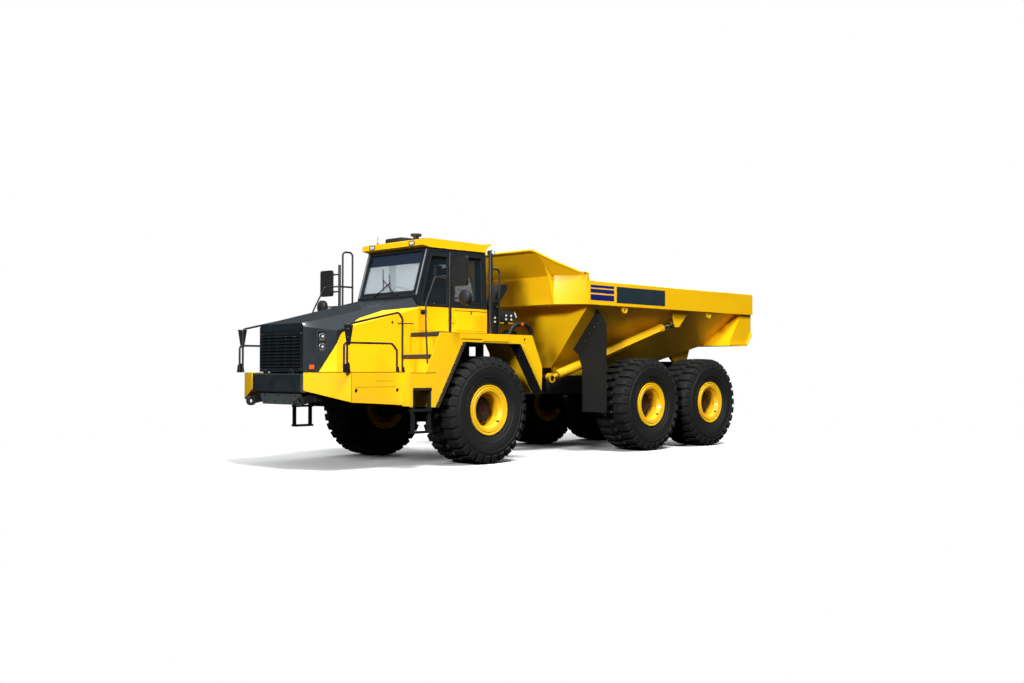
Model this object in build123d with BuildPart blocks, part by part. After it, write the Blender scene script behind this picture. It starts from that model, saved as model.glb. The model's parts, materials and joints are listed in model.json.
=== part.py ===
from build123d import *
import os
from math import cos, hypot, radians, sin, sqrt

os.makedirs("parts", exist_ok=True)

# Articulated dump truck, 40-tonne class, six driven wheels. Millimetres.
# +X is forward, +Y the truck's left, +Z up. The ground is z = 0, and x = 0 is halfway along it.

# ---- driving dimensions: chassis and wheels ----
NOSE = 3100            # front axle to the tips of the tow hooks
WHEELBASE = 4350       # front axle to middle axle
BOGIE = 1970           # middle axle to rear axle
TAIL = 1825            # rear axle to the end of the dump body
HITCH_BACK = 1500      # front axle back to the steering pivot
TRACK = 2690           # left wheel centre to right wheel centre
TYRE_R = 890           # standing radius, so also the height of the axles
TYRE_W = 750           # overall width of a tyre
TREAD_HALF = 305       # half width of the flat tread
RIM_HALF = 317.5       # half width between the rim's flanges
RIM_R = 413            # outside of the rim's flange
BEAD_R = 318           # seat of the tyre on the rim
RIM_T = 18             # thickness of the rim's barrel
FLANGE_T = 27.5        # width of the rim's flange
CONE_R = 270           # opening inside the rim's conical face
HUB_R = 218            # planetary hub
HUB_FACE = 160         # outer face of the hub, outboard of the wheel's middle
HUB_BACK = 260         # inner face of the hub, inboard of the wheel's middle
SPINDLE_R = 75
AXLE_R = 140           # axle tube
DIFF_R = 245           # bulge of the differential
BRAKE_R = 205

# ---- driving dimensions: frames and hitch ----
RAIL_IN = 400          # inner face of a frame rail, both units
RAIL_W = 100
FRAME_TOP = 1400       # top of the front frame's rails
FRAME_BOTTOM = 1000
REAR_TOP = 1440        # top of the rear frame's rails
REAR_BOTTOM = 1100
PLATE = 14             # thickness of fairing and fender plates
HITCH_Z = 1150         # oscillation axis
LUG_HALF_H = 280       # hitch axis to the outer face of each lug
LUG_T = 60
LUG_HALF_W = 150
KING_R = 60            # steering pin
TRUNNION_R = 170       # oscillation shaft
HOUSING_R = 235
STEER_ROD_R = 32
STEER_BARREL_R = 52
STEER_EYE_H = 60
PIN_GAP = 0.5          # radial running clearance on pins, shafts and rods
SEAT_GAP = 0.3         # between a loose pane or pad and its seat
MOVE_GAP = 6           # between faces that move past each other

# ---- driving dimensions: front unit ----
DECK_Z = 1505          # walkway on both sides of the hood
DECK_Y = 1460          # outer face of the side fairings
BUMPER_HALF = 710
BUMPER_X = 2986        # front face, ahead of the front axle
FENDER_Y = 1636        # outer face of the front fenders
FENDER_Z = 2140        # top of the fender platforms
FENDER_IN = 815        # inner edge of the fender platforms
HOOD_HALF = 905
HOOD_T = 12
HOOD_Z = 1515          # lower edge of the hood
CAB_HALF = 800
CAB_T = 50             # thickness of cab walls, floor frame and door
CAB_BOTTOM = 2060
CAB_FLOOR = 2150
CAB_TOP = 3600
ROOF_TOP = 3747
GLASS_T = 8
RAIL_TUBE_R = 17       # handrails

# ---- driving dimensions: dump body ----
PIVOT_BACK = 550       # rear axle back to the body's pivot
PIVOT_Z = 1650
PIVOT_R = 55
BODY_T = 14            # side and front plates
FLOOR_T = 18
FLOOR_Z = 1590         # underside of the floor
FLOOR_HALF = 450
TAIL_FLOOR_Z = 2070    # underside of the raised tail
WALL_TOP_HALF = 1390   # outer face of the sloping wall where it meets the rail
RAIL_Z0 = 2750         # box rail along the top of each side
RAIL_Z1 = 3180
BODY_HALF = 1550
TAIL_HALF = 1500       # upright plates beside the tail
BAND_Z0 = 2755         # upright band above the front wall
BAND_Z1 = 3278
GUARD_Z = 3728         # top of the spill guard that leans over the cab
HOIST_R = 90
HOIST_ROD_R = 58
HOIST_PIN_R = 40
HOIST_BALL_R = 64      # spherical bearing on the lower pin

# ---- stations along the truck ----
LENGTH = NOSE + WHEELBASE + BOGIE + TAIL
FRONT_X = LENGTH / 2 - NOSE
HITCH_X = FRONT_X - HITCH_BACK
MIDDLE_X = FRONT_X - WHEELBASE
REAR_X = MIDDLE_X - BOGIE
BOGIE_X = (MIDDLE_X + REAR_X) / 2
TAIL_X = REAR_X - TAIL
PIVOT_X = REAR_X - PIVOT_BACK
WHEEL_Y = TRACK / 2

# ---- pins of the hydraulic cylinders, left side ----
STEER_BASE = (HITCH_X + 900, 570, HITCH_Z + 16)      # on the front frame
STEER_EYE = (HITCH_X - 180, 360, HITCH_Z + 16)       # on the hitch's ear
HOIST_BASE = (HITCH_X - 1050, 700, 1400)             # on the rear frame
HOIST_EYE = (PIVOT_X + 1340, 1300, 2484)             # under the body's rail


def fx(ahead):
    """x of a place this far ahead of the front axle."""
    return FRONT_X + ahead


def hx(ahead):
    """x of a place this far ahead of the steering pivot."""
    return HITCH_X + ahead


def along(points, x_of=fx):
    """Outline points (distance ahead, height or width) as points in the truck's own frame."""
    return [(x_of(ahead), other) for ahead, other in points]


def folded(points, thickness):
    """Closed outline of a folded plate: one face follows the points, the other lies to their left."""
    dirs = []
    for (x0, y0), (x1, y1) in zip(points, points[1:]):
        run = hypot(x1 - x0, y1 - y0)
        dirs.append(((x1 - x0) / run, (y1 - y0) / run))
    back = []
    for i, (x, y) in enumerate(points):
        (ux, uy), (vx, vy) = dirs[max(i - 1, 0)], dirs[min(i, len(dirs) - 1)]
        mx, my = -(uy + vy), ux + vx
        scale = 2 * thickness / (mx * mx + my * my)
        back.append((x + mx * scale, y + my * scale))
    return points + back[::-1]


def polygon(plane, points):
    """A flat face with this outline on this plane."""
    with BuildSketch(plane) as profile:
        with BuildLine():
            Polyline(*points, close=True)
        make_face()
    return profile.sketch


def wall_y(points, y0, y1, mode=Mode.ADD):
    """Plate with an (x, z) outline, from y0 to y1."""
    extrude(polygon(Plane.XZ.offset(-y0), points), amount=y0 - y1, mode=mode)


def wall_z(points, z0, z1, mode=Mode.ADD):
    """Plate with an (x, y) outline, from z0 to z1."""
    extrude(polygon(Plane.XY.offset(z0), points), amount=z1 - z0, mode=mode)


def wall_x(points, x0, x1, mode=Mode.ADD):
    """Plate with a (y, z) outline, from x0 to x1."""
    extrude(polygon(Plane.YZ.offset(x0), points), amount=x1 - x0, mode=mode)


def block(x0, x1, y0, y1, z0, z1, mode=Mode.ADD):
    """Rectangular block between these planes."""
    wall_z([(x0, y0), (x1, y0), (x1, y1), (x0, y1)], z0, z1, mode)


def bar(start, end, radius, mode=Mode.ADD):
    """Round bar from one point to another."""
    run = Vector(*end) - Vector(*start)
    with BuildSketch(Plane(origin=start, z_dir=run.normalized())) as section:
        Circle(radius)
    extrude(section.sketch, amount=run.length, mode=mode)


def tube(points, radius, bend):
    """Bent tube through these points, with this bend radius at the corners."""
    with BuildLine() as path:
        FilletPolyline(*points, radius=bend)
    start = path.line @ 0
    with BuildSketch(Plane(origin=start, z_dir=path.line % 0)) as section:
        Circle(radius)
    sweep(section.sketch, path=path.line)


def turned(centre, side, points, mode=Mode.ADD):
    """Solid turned about a wheel's axle from (outboard, radius) points; side is +1 on the left."""
    plane = Plane(origin=centre, x_dir=(0, side, 0), z_dir=(side, 0, 0))
    revolve(polygon(plane, points), axis=Axis(centre, (0, 1, 0)), mode=mode)


def point_on(start, end, distance):
    """Point this far from start towards end."""
    run = Vector(*end) - Vector(*start)
    return tuple(Vector(*start) + run.normalized() * distance)


# ---- wheels: tyre and rim at six stations ----
# name, distance of the axle, side (+1 left, -1 right)
WHEELS = [(f"{row}_{'left' if side > 0 else 'right'}", x, side)
          for row, x in (("front", FRONT_X), ("middle", MIDDLE_X), ("rear", REAR_X))
          for side in (1, -1)]
WALL_R = (RIM_R + TYRE_R) / 2
TREAD_T = 62
SIDE_T = 40

for wheel, x, side in WHEELS:
    centre = (x, side * WHEEL_Y, TYRE_R)
    plane = Plane(origin=centre, x_dir=(0, side, 0), z_dir=(side, 0, 0))
    half = TYRE_W / 2
    bead = RIM_HALF - SEAT_GAP
    foot = BEAD_R + SEAT_GAP
    with BuildPart() as tyre:
        with BuildSketch(plane):
            with BuildLine():
                ThreePointArc((-TREAD_HALF, TYRE_R - 10), (0, TYRE_R), (TREAD_HALF, TYRE_R - 10))
                for w in (1, -1):
                    Line((w * TREAD_HALF, TYRE_R - 10), (w * (half - 8), TYRE_R - 120))
                    ThreePointArc((w * (half - 8), TYRE_R - 120), (w * half, WALL_R), (w * (half - 22), RIM_R + 60))
                    Line((w * (half - 22), RIM_R + 60), (w * bead, RIM_R + 6))
                    Line((w * bead, RIM_R + 6), (w * bead, foot))
                    Line((w * bead, foot), (w * (bead - 60), foot))
                    Line((w * (bead - 60), foot), (w * (half - SIDE_T - 20), RIM_R + 60))
                    ThreePointArc((w * (half - SIDE_T - 20), RIM_R + 60), (w * (half - SIDE_T), WALL_R),
                                  (w * (TREAD_HALF - 15), TYRE_R - 10 - TREAD_T))
                Line((TREAD_HALF - 15, TYRE_R - 10 - TREAD_T), (15 - TREAD_HALF, TYRE_R - 10 - TREAD_T))
            make_face()
        revolve(axis=Axis(centre, (0, 1, 0)))
    tyre.part.label = f"tyre_{wheel}"
    export_step(tyre.part, f"parts/tyre_{wheel}.step")

    flange = RIM_HALF + FLANGE_T
    barrel = BEAD_R - RIM_T
    with BuildPart() as rim:
        turned(centre, side, [
            (flange, RIM_R), (RIM_HALF, RIM_R), (RIM_HALF, BEAD_R),
            (-RIM_HALF, BEAD_R), (-RIM_HALF, RIM_R), (-flange, RIM_R), (-flange, RIM_R - 16),
            (-RIM_HALF - 4, barrel), (-100, barrel), (-100, HUB_R - 8), (-HUB_BACK, HUB_R - 8),
            (-HUB_BACK, SPINDLE_R + PIN_GAP), (0, SPINDLE_R + PIN_GAP), (0, 0),
            (HUB_FACE, 0), (HUB_FACE, HUB_R - 60), (HUB_FACE - 25, HUB_R - 45), (HUB_FACE - 25, HUB_R - 14),
            (HUB_FACE - 45, HUB_R), (-70, HUB_R), (-70, barrel), (flange - 95, barrel), (flange - 101, CONE_R),
            (flange - 83, CONE_R), (flange - 10, barrel + 8), (flange - 3, RIM_R - 62), (flange - 12, RIM_R - 46),
            (flange, RIM_R - 18)])
    rim.part.label = f"rim_{wheel}"
    export_step(rim.part, f"parts/rim_{wheel}.step")

# ---- axles ----
NOSE_Z = TYRE_R + 30   # pinion nose of each differential
NOSE_LEN = 420
# name, station, direction of the pinion nose (+1 ahead)
for name, x, ahead in (("front_axle", FRONT_X, -1), ("middle_axle", MIDDLE_X, 1), ("rear_axle", REAR_X, 1)):
    centre = (x, 0, TYRE_R)
    hub_y = WHEEL_Y - HUB_BACK
    with BuildPart() as axle:
        turned(centre, 1, [
            (0, 0), (0, DIFF_R), (150, DIFF_R), (320, AXLE_R), (hub_y - 190, AXLE_R), (hub_y - 150, BRAKE_R),
            (hub_y - 20, BRAKE_R), (hub_y - 20, SPINDLE_R), (WHEEL_Y - 4, SPINDLE_R), (WHEEL_Y - 4, 0)])
        mirror(about=Plane.XZ)
        bar((x, 0, NOSE_Z), (x + ahead * 380, 0, NOSE_Z), 120)
        bar((x + ahead * 380, 0, NOSE_Z), (x + ahead * NOSE_LEN, 0, NOSE_Z), 90)
    axle.part.label = name
    export_step(axle.part, f"parts/{name}.step")

# ---- front frame: rails, tail box with the hitch lugs, cross beams, outriggers and tow hooks ----
BEAM_X = 2760          # front face of the bumper's cross beam
ARM_Z = 2040           # arms under the fender platforms
LUG_TOP = HITCH_Z + LUG_HALF_H
LUG_LOW = HITCH_Z - LUG_HALF_H
RAIL_OUT = RAIL_IN + RAIL_W
TAIL_BOX = [(hx(860), RAIL_OUT), (hx(320), 260), (hx(320), 160), (hx(860), RAIL_IN)]
HOOK_Y = 650
HOOK_R = 75

with BuildPart() as front_frame:
    rail_end = 850 - HITCH_BACK
    wall_y(along([(BEAM_X - 10, 1080), (BEAM_X - 10, FRAME_TOP), (rail_end, FRAME_TOP), (rail_end, FRAME_BOTTOM),
                  (-340, FRAME_BOTTOM), (-240, 1100), (240, 1100), (340, FRAME_BOTTOM), (2100, FRAME_BOTTOM)]),
           RAIL_IN, RAIL_OUT)
    wall_z(TAIL_BOX, LUG_LOW, LUG_TOP)
    wall_z([(hx(860), 0), (hx(860), RAIL_OUT), (hx(320), 260), (hx(320), 0)], LUG_TOP - LUG_T, LUG_TOP)
    wall_z([(hx(860), 0), (hx(860), RAIL_OUT), (hx(320), 260), (hx(320), 0)], LUG_LOW, LUG_LOW + LUG_T)
    block(fx(BEAM_X - 120), fx(BEAM_X), 0, 730, 1060, FRAME_TOP)
    for ahead in (1560, -250):
        block(fx(ahead - 60), fx(ahead + 60), 0, RAIL_IN, FRAME_BOTTOM + 60, FRAME_TOP - 60)
    # outriggers that carry the walkways
    for ahead in (2300, 1760):
        wall_x([(RAIL_OUT, FRAME_TOP - 130), (RAIL_OUT, DECK_Z - PLATE), (DECK_Y - PLATE, DECK_Z - PLATE),
                (DECK_Y - PLATE, DECK_Z - 90)], fx(ahead - 30), fx(ahead + 30))
        block(fx(ahead - 30), fx(ahead + 30), RAIL_IN, RAIL_OUT, FRAME_TOP, DECK_Z - PLATE)
    # posts under the cab, with an arm under the fender platform on each
    for ahead in (560, -600):
        block(fx(ahead - 60), fx(ahead + 60), RAIL_IN, RAIL_OUT, FRAME_TOP, CAB_BOTTOM)
        wall_x([(RAIL_OUT, ARM_Z - 90), (RAIL_OUT, CAB_BOTTOM - 6), (CAB_HALF + 8, CAB_BOTTOM - 6),
                (CAB_HALF + 8, FENDER_Z - PLATE), (FENDER_Y - PLATE, FENDER_Z - PLATE), (FENDER_Y - PLATE, ARM_Z),
                (855, ARM_Z), (835, ARM_Z - 90)], fx(ahead - 40), fx(ahead + 40))
    # tow hook: an open ring on a plate
    wall_y(along([(BEAM_X - 60, 1060), (NOSE - 120, 1015), (NOSE - 120, 1125), (BEAM_X - 60, 1180)]),
           HOOK_Y - 30, HOOK_Y + 30)
    bar((fx(NOSE - HOOK_R), HOOK_Y - 30, 1058), (fx(NOSE - HOOK_R), HOOK_Y + 30, 1058), HOOK_R)
    bar((fx(NOSE - HOOK_R), HOOK_Y - 31, 1058), (fx(NOSE - HOOK_R), HOOK_Y + 31, 1058), 36, Mode.SUBTRACT)
    block(fx(NOSE - HOOK_R - 14), fx(NOSE - HOOK_R + 14), HOOK_Y - 31, HOOK_Y + 31, 1070, 1140, Mode.SUBTRACT)
    # steering cylinder's bracket and pin
    block(STEER_BASE[0] - 48, STEER_BASE[0] + 70, RAIL_OUT, STEER_BASE[1] + 60,
          STEER_BASE[2] - STEER_EYE_H / 2 - 36, STEER_BASE[2] - STEER_EYE_H / 2 - MOVE_GAP)
    bar((STEER_BASE[0], STEER_BASE[1], STEER_BASE[2] - STEER_EYE_H / 2 - 30),
        (STEER_BASE[0], STEER_BASE[1], STEER_BASE[2] + STEER_EYE_H / 2 + 14), 28)
    mirror(about=Plane.XZ)
    # hitch lugs
    for z0 in (LUG_LOW, LUG_TOP - LUG_T):
        block(hx(0), hx(330), -LUG_HALF_W, LUG_HALF_W, z0, z0 + LUG_T)
        bar((hx(0), 0, z0), (hx(0), 0, z0 + LUG_T), LUG_HALF_W)
    bar((hx(0), 0, LUG_LOW - 1), (hx(0), 0, LUG_TOP + 1), KING_R + PIN_GAP, Mode.SUBTRACT)
front_frame.part.label = "front_frame"
export_step(front_frame.part, "parts/front_frame.step")

# ---- front suspension: two struts and two trailing links ----
STRUT_Y = 640
with BuildPart() as front_suspension:
    bar((FRONT_X, STRUT_Y, TYRE_R + AXLE_R - 4), (FRONT_X, STRUT_Y, 1290), 55)
    bar((FRONT_X, STRUT_Y, 1280), (FRONT_X, STRUT_Y, FRAME_TOP - 20), 75)
    block(FRONT_X - 70, FRONT_X + 70, RAIL_OUT, STRUT_Y + 60, FRAME_TOP - 40, FRAME_TOP)
    bar((FRONT_X, 560, TYRE_R + 20), (fx(1010), 560, 1080), 45)
    block(fx(950), fx(1070), RAIL_OUT, 600, 1010, 1160)
    bar((FRONT_X, 0, TYRE_R), (FRONT_X, 900, TYRE_R), AXLE_R + 0.2, Mode.SUBTRACT)
    mirror(about=Plane.XZ)
front_suspension.part.label = "front_suspension"
export_step(front_suspension.part, "parts/front_suspension.step")

# ---- engine and gearbox as one plain block, carried on feet on the rails ----
with BuildPart() as engine:
    wall_x([(-330, 960), (330, 960), (380, 1150), (380, 1700), (300, 1930), (-300, 1930), (-380, 1700),
            (-380, 1150)], fx(700), fx(2150))
    block(fx(-150), fx(700), -300, 300, TYRE_R + DIFF_R + 25, 1560)
    for ahead in (900, 1950):
        block(fx(ahead - 60), fx(ahead + 60), -RAIL_OUT, RAIL_OUT, FRAME_TOP, FRAME_TOP + 60)
    block(fx(1490), fx(1630), -400, 400, 950, FRAME_TOP - 50, Mode.SUBTRACT)
engine.part.label = "engine"
export_step(engine.part, "parts/engine.step")

# ---- radiator pack behind the grille, on the front cross beam ----
with BuildPart() as radiator:
    block(fx(BEAM_X - 120), fx(BEAM_X), -520, 520, FRAME_TOP, 2090)
    block(fx(BEAM_X - 12), fx(BEAM_X + 1), -470, 470, FRAME_TOP + 60, 2040, Mode.SUBTRACT)
    bar((fx(BEAM_X - 200), 0, 1760), (fx(BEAM_X - 121), 0, 1760), 330)
    block(fx(BEAM_X - 121), fx(BEAM_X - 119), -330, 330, 1430, 2089)
radiator.part.label = "radiator"
export_step(radiator.part, "parts/radiator.step")

HOOD_HINGE = (2945, 1535)            # hinge line of the hood: ahead of the front axle, height
HOOD_LUG_Y = 360

# ---- bumper: open channel with rounded ends, and the belly plate below it ----
with BuildPart() as bumper:
    wall_z(along([(BEAM_X, -BUMPER_HALF), (BUMPER_X - 60, -BUMPER_HALF), (BUMPER_X, -BUMPER_HALF + 60),
                  (BUMPER_X, BUMPER_HALF - 60), (BUMPER_X - 60, BUMPER_HALF), (BEAM_X, BUMPER_HALF)]),
           1200, DECK_Z - 15)
    fillet(bumper.edges().filter_by(Axis.Y).group_by(Axis.X)[-1], 25)
    block(fx(BEAM_X - 1), fx(BUMPER_X - 90), 16 - BUMPER_HALF, BUMPER_HALF - 16, 1216, DECK_Z - 31, Mode.SUBTRACT)
    wall_x([(-600, 1200), (-490, 1010), (490, 1010), (600, 1200)], fx(BUMPER_X - 90), fx(BUMPER_X - 78))
    # hinge lugs and pins of the hood
    ahead, z = HOOD_HINGE
    for y in (-HOOD_LUG_Y, HOOD_LUG_Y):
        bar((fx(ahead), y - 42, z), (fx(ahead), y + 42, z), 12)
        for y0 in (y - 42, y + 26):
            block(fx(ahead - 20), fx(ahead + 20), y0, y0 + 16, DECK_Z - 20, z)
            bar((fx(ahead), y0, z), (fx(ahead), y0 + 16, z), 20)
bumper.part.label = "bumper"
export_step(bumper.part, "parts/bumper.step")

# ---- side fairings: swept corner, straight skirt and walkway on each side ----
SKIRT_REAR = 1655      # rear end of the skirt, ahead of the front axle
CORNER = (2645, DECK_Y)
with BuildPart() as side_skirts:
    line = [(BUMPER_X - 8, BUMPER_HALF + 0.5), CORNER, (SKIRT_REAR, DECK_Y)]
    wall_z(along(folded(line, PLATE)), 985, DECK_Z)
    wall_z(along([(BEAM_X + 0.5, BUMPER_HALF + 0.5), line[0], CORNER, (SKIRT_REAR, DECK_Y),
                  (SKIRT_REAR, RAIL_OUT + 20), (BEAM_X - 130, RAIL_OUT + 20), (BEAM_X - 130, BUMPER_HALF + 21),
                  (BEAM_X + 0.5, BUMPER_HALF + 21)]), DECK_Z - PLATE, DECK_Z)
    wall_y(along([(3100, 900), (3100, 1110), (2645, 1062), (1600, 1000), (1600, 900)]), 600, 1500, Mode.SUBTRACT)
    # tie-down holes
    for ahead in (2550, 1760):
        bar((fx(ahead), DECK_Y - 40, 1235), (fx(ahead), DECK_Y + 1, 1235), 30, Mode.SUBTRACT)
    mirror(about=Plane.XZ)
side_skirts.part.label = "side_skirts"
export_step(side_skirts.part, "parts/side_skirts.step")

# ---- front fenders: side plate, platform, stair, arch liner and rear plate ----
ARCH = [(1140, 960), (550, 2000), (-700, 1985), (-1245, 1150)]
STEP_Z = 1780
with BuildPart() as fenders:
    wall_y(along([(SKIRT_REAR - 1, 975), (SKIRT_REAR - 1, DECK_Z), (1340, DECK_Z), (1035, FENDER_Z),
                  (-1070, FENDER_Z), (-1320, 1600), (-1300, 1150)] + ARCH[::-1]), FENDER_Y - PLATE, FENDER_Y)
    # recess for the climbing boot, open below
    block(fx(1215), fx(1600), FENDER_Y - 20, FENDER_Y + 1, 900, 1225, Mode.SUBTRACT)
    wall_z(along([(-1070, FENDER_IN), (840, FENDER_IN), (840, HOOD_HALF + 10), (1035, HOOD_HALF + 10),
                  (1035, FENDER_Y - PLATE), (-1070, FENDER_Y - PLATE)]), FENDER_Z - PLATE, FENDER_Z)
    wall_y(along(folded([(SKIRT_REAR - 1, DECK_Z), (1190, DECK_Z), (1190, STEP_Z), (1035, STEP_Z),
                         (1035, FENDER_Z - PLATE)], PLATE)), HOOD_HALF + 10, FENDER_Y - PLATE)
    block(fx(SKIRT_REAR - 15), fx(SKIRT_REAR - 1), DECK_Y - 200, FENDER_Y - PLATE, 985, DECK_Z - PLATE)
    wall_y(along(folded(ARCH, -PLATE)), 860, FENDER_Y - PLATE)
    wall_y(along(folded([(-1070, FENDER_Z), (-1305, 1600), (-1290, 1150)], PLATE)), 860, FENDER_Y - PLATE)
    # covers along the top of the arch, and the ringed hole behind them
    block(fx(123), fx(584), FENDER_Y - 1, FENDER_Y + 12, 2052, FENDER_Z - 2)
    block(fx(-499), fx(107), FENDER_Y - 1, FENDER_Y + 12, 2020, FENDER_Z - 2)
    bar((fx(-882), FENDER_Y - 1, 2060), (fx(-882), FENDER_Y + 6, 2060), 44)
    bar((fx(-882), FENDER_Y - PLATE - 1, 2060), (fx(-882), FENDER_Y + 7, 2060), 27, Mode.SUBTRACT)
    mirror(about=Plane.XZ)
fenders.part.label = "fenders"
export_step(fenders.part, "parts/fenders.step")

# ---- rubber extension round each arch ----
FLAP_T = 16
FLAP_Y = 1715
with BuildPart() as fender_flaps:
    lining = folded(ARCH, SEAT_GAP)[:len(ARCH) - 1:-1]
    wall_y(along(folded(lining, FLAP_T)), FENDER_Y - 150, FLAP_Y)
    mirror(about=Plane.XZ)
fender_flaps.part.label = "fender_flaps"
export_step(fender_flaps.part, "parts/fender_flaps.step")

# ---- climbing steps: a hanging step and a tread in the recess, on each side ----
with BuildPart() as ladders:
    for ahead in (1235, 1565):
        block(fx(ahead - 25), fx(ahead + 25), FENDER_Y - 70, FENDER_Y - 20, 560, 1245)
    for z in (560, 900):
        block(fx(1215), fx(1585), FENDER_Y - 120, FENDER_Y + 10, z, z + 35)
    block(fx(1215), fx(1600), FENDER_Y - 250, FENDER_Y - PLATE, 1230, 1262)
    mirror(about=Plane.XZ)
ladders.part.label = "ladders"
export_step(ladders.part, "parts/ladders.step")

# ---- handrails ----
POST_X = 690           # mirror posts beside the windscreen
POST_Y = 1480
POST_R = 25
with BuildPart() as handrails:
    y = DECK_Y - 30
    tube([(fx(2700), y, DECK_Z), (fx(2700), y, 2222), (fx(1720), y, 2435), (fx(1640), y, 2340), (fx(1640), y, DECK_Z)],
         RAIL_TUBE_R, 60)
    tube([(fx(2760), y, DECK_Z), (fx(2760), y, 1950), (fx(1850), y, 1950), (fx(1750), y, 1850),
          (fx(1750), y, DECK_Z)], RAIL_TUBE_R, 60)
    bar((fx(POST_X), POST_Y, FENDER_Z), (fx(POST_X), POST_Y, 3440), POST_R)
    # grab rail from the stair up to the post
    tube([(fx(1292), FENDER_Y - 14, 1642), (fx(1300), 1590, 2250), (fx(1232), 1510, 2600), (fx(1016), POST_Y, 3020),
          (fx(POST_X), POST_Y, 3050)], 14, 60)
    # hoop at the rear edge of the platform, with a stout post
    bar((fx(-830), 862, FENDER_Z), (fx(-830), 862, 3600), 38)
    tube([(fx(-830), 862, 3320), (fx(-1040), 862, 3320), (fx(-1040), 862, FENDER_Z)], RAIL_TUBE_R, 60)
    bar((fx(-830), 862, 2750), (fx(-1040), 862, 2750), RAIL_TUBE_R)
    mirror(about=Plane.XZ)
    # tall hoop on the right platform
    tube([(fx(620), -POST_Y, FENDER_Z), (fx(620), -POST_Y, 3680), (fx(400), -POST_Y, 3680), (fx(400), -POST_Y, FENDER_Z)],
         RAIL_TUBE_R, 70)
    bar((fx(POST_X), -POST_Y, 3050), (fx(400), -POST_Y, 3050), RAIL_TUBE_R)
handrails.part.label = "handrails"
export_step(handrails.part, "parts/handrails.step")

# ---- mirrors on the posts: a tall mirror and a round one on each side ----
with BuildPart() as mirrors:
    block(fx(POST_X + 35), fx(POST_X + 85), POST_Y + 130, POST_Y + 470, 2880, 3350)
    fillet(mirrors.edges().filter_by(Axis.X), 40)
    for z in (2960, 3270):
        bar((fx(POST_X), POST_Y + 25, z), (fx(POST_X + 45), POST_Y + 160, z), 14)
    bar((fx(POST_X + 30), POST_Y + 430, 2690), (fx(POST_X + 90), POST_Y + 430, 2690), 125)
    bar((fx(POST_X), POST_Y + 20, 2690), (fx(POST_X + 45), POST_Y + 420, 2690), 14)
    bar((fx(POST_X), POST_Y, FENDER_Z), (fx(POST_X), POST_Y, 3440), POST_R + SEAT_GAP, Mode.SUBTRACT)
    mirror(about=Plane.XZ)
mirrors.part.label = "mirrors"
export_step(mirrors.part, "parts/mirrors.step")

# ---- cab: hollow shell with window and door openings ----
CAB_SIDE = along([(800, CAB_BOTTOM), (800, 2780), (560, CAB_TOP), (-760, CAB_TOP), (-800, 2600), (-800, CAB_BOTTOM)])
CAB_VOID = along([(800 - CAB_T, CAB_FLOOR), (800 - CAB_T, 2773), (522, CAB_TOP - CAB_T), (-711, CAB_TOP - CAB_T),
                  (CAB_T - 800, 2596), (CAB_T - 800, CAB_FLOOR)])
DOOR_OPENING = [(60, 2190), (765, 2190), (765, 2780), (540, 3545), (60, 3545)]
REAR_PANE = [(-690, 2700), (-20, 2700), (-20, 3500), (-670, 3500)]
RIGHT_PANE = [(90, 2640), (700, 2640), (705, 2780), (505, 3500), (90, 3500)]
WINDSCREEN = (690, 2850, 3550)       # half width, lower and upper edge
BACKLIGHT = (560, 2760, 3480)
DOOR_X, DOOR_Y = 54, CAB_HALF + 15   # hinge line of the left door
HINGE_Z = (2400, 3300)

with BuildPart() as cab_shell:
    wall_y(CAB_SIDE, -CAB_HALF, CAB_HALF)
    wall_y(CAB_VOID, CAB_T - CAB_HALF, CAB_HALF - CAB_T, Mode.SUBTRACT)
    wall_y(along(DOOR_OPENING), CAB_HALF - CAB_T - 1, CAB_HALF + 1, Mode.SUBTRACT)
    for y0, y1 in ((CAB_HALF - CAB_T - 1, CAB_HALF + 1), (-CAB_HALF - 1, CAB_T - CAB_HALF + 1)):
        wall_y(along(REAR_PANE), y0, y1, Mode.SUBTRACT)
    wall_y(along(RIGHT_PANE), -CAB_HALF - 1, CAB_T - CAB_HALF + 1, Mode.SUBTRACT)
    half, low, high = WINDSCREEN
    block(fx(300), fx(900), -half, half, low, high, Mode.SUBTRACT)
    half, low, high = BACKLIGHT
    block(fx(-900), fx(-600), -half, half, low, high, Mode.SUBTRACT)
    # hinge knuckles with upright pins
    for z in HINGE_Z:
        block(fx(-20), fx(DOOR_X), CAB_HALF, DOOR_Y + 6, z - 45, z - 5)
        bar((fx(DOOR_X), DOOR_Y, z - 45), (fx(DOOR_X), DOOR_Y, z - 5), 14)
        bar((fx(DOOR_X), DOOR_Y, z - 45), (fx(DOOR_X), DOOR_Y, z + 40), 7)
cab_shell.part.label = "cab_shell"
export_step(cab_shell.part, "parts/cab_shell.step")

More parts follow.
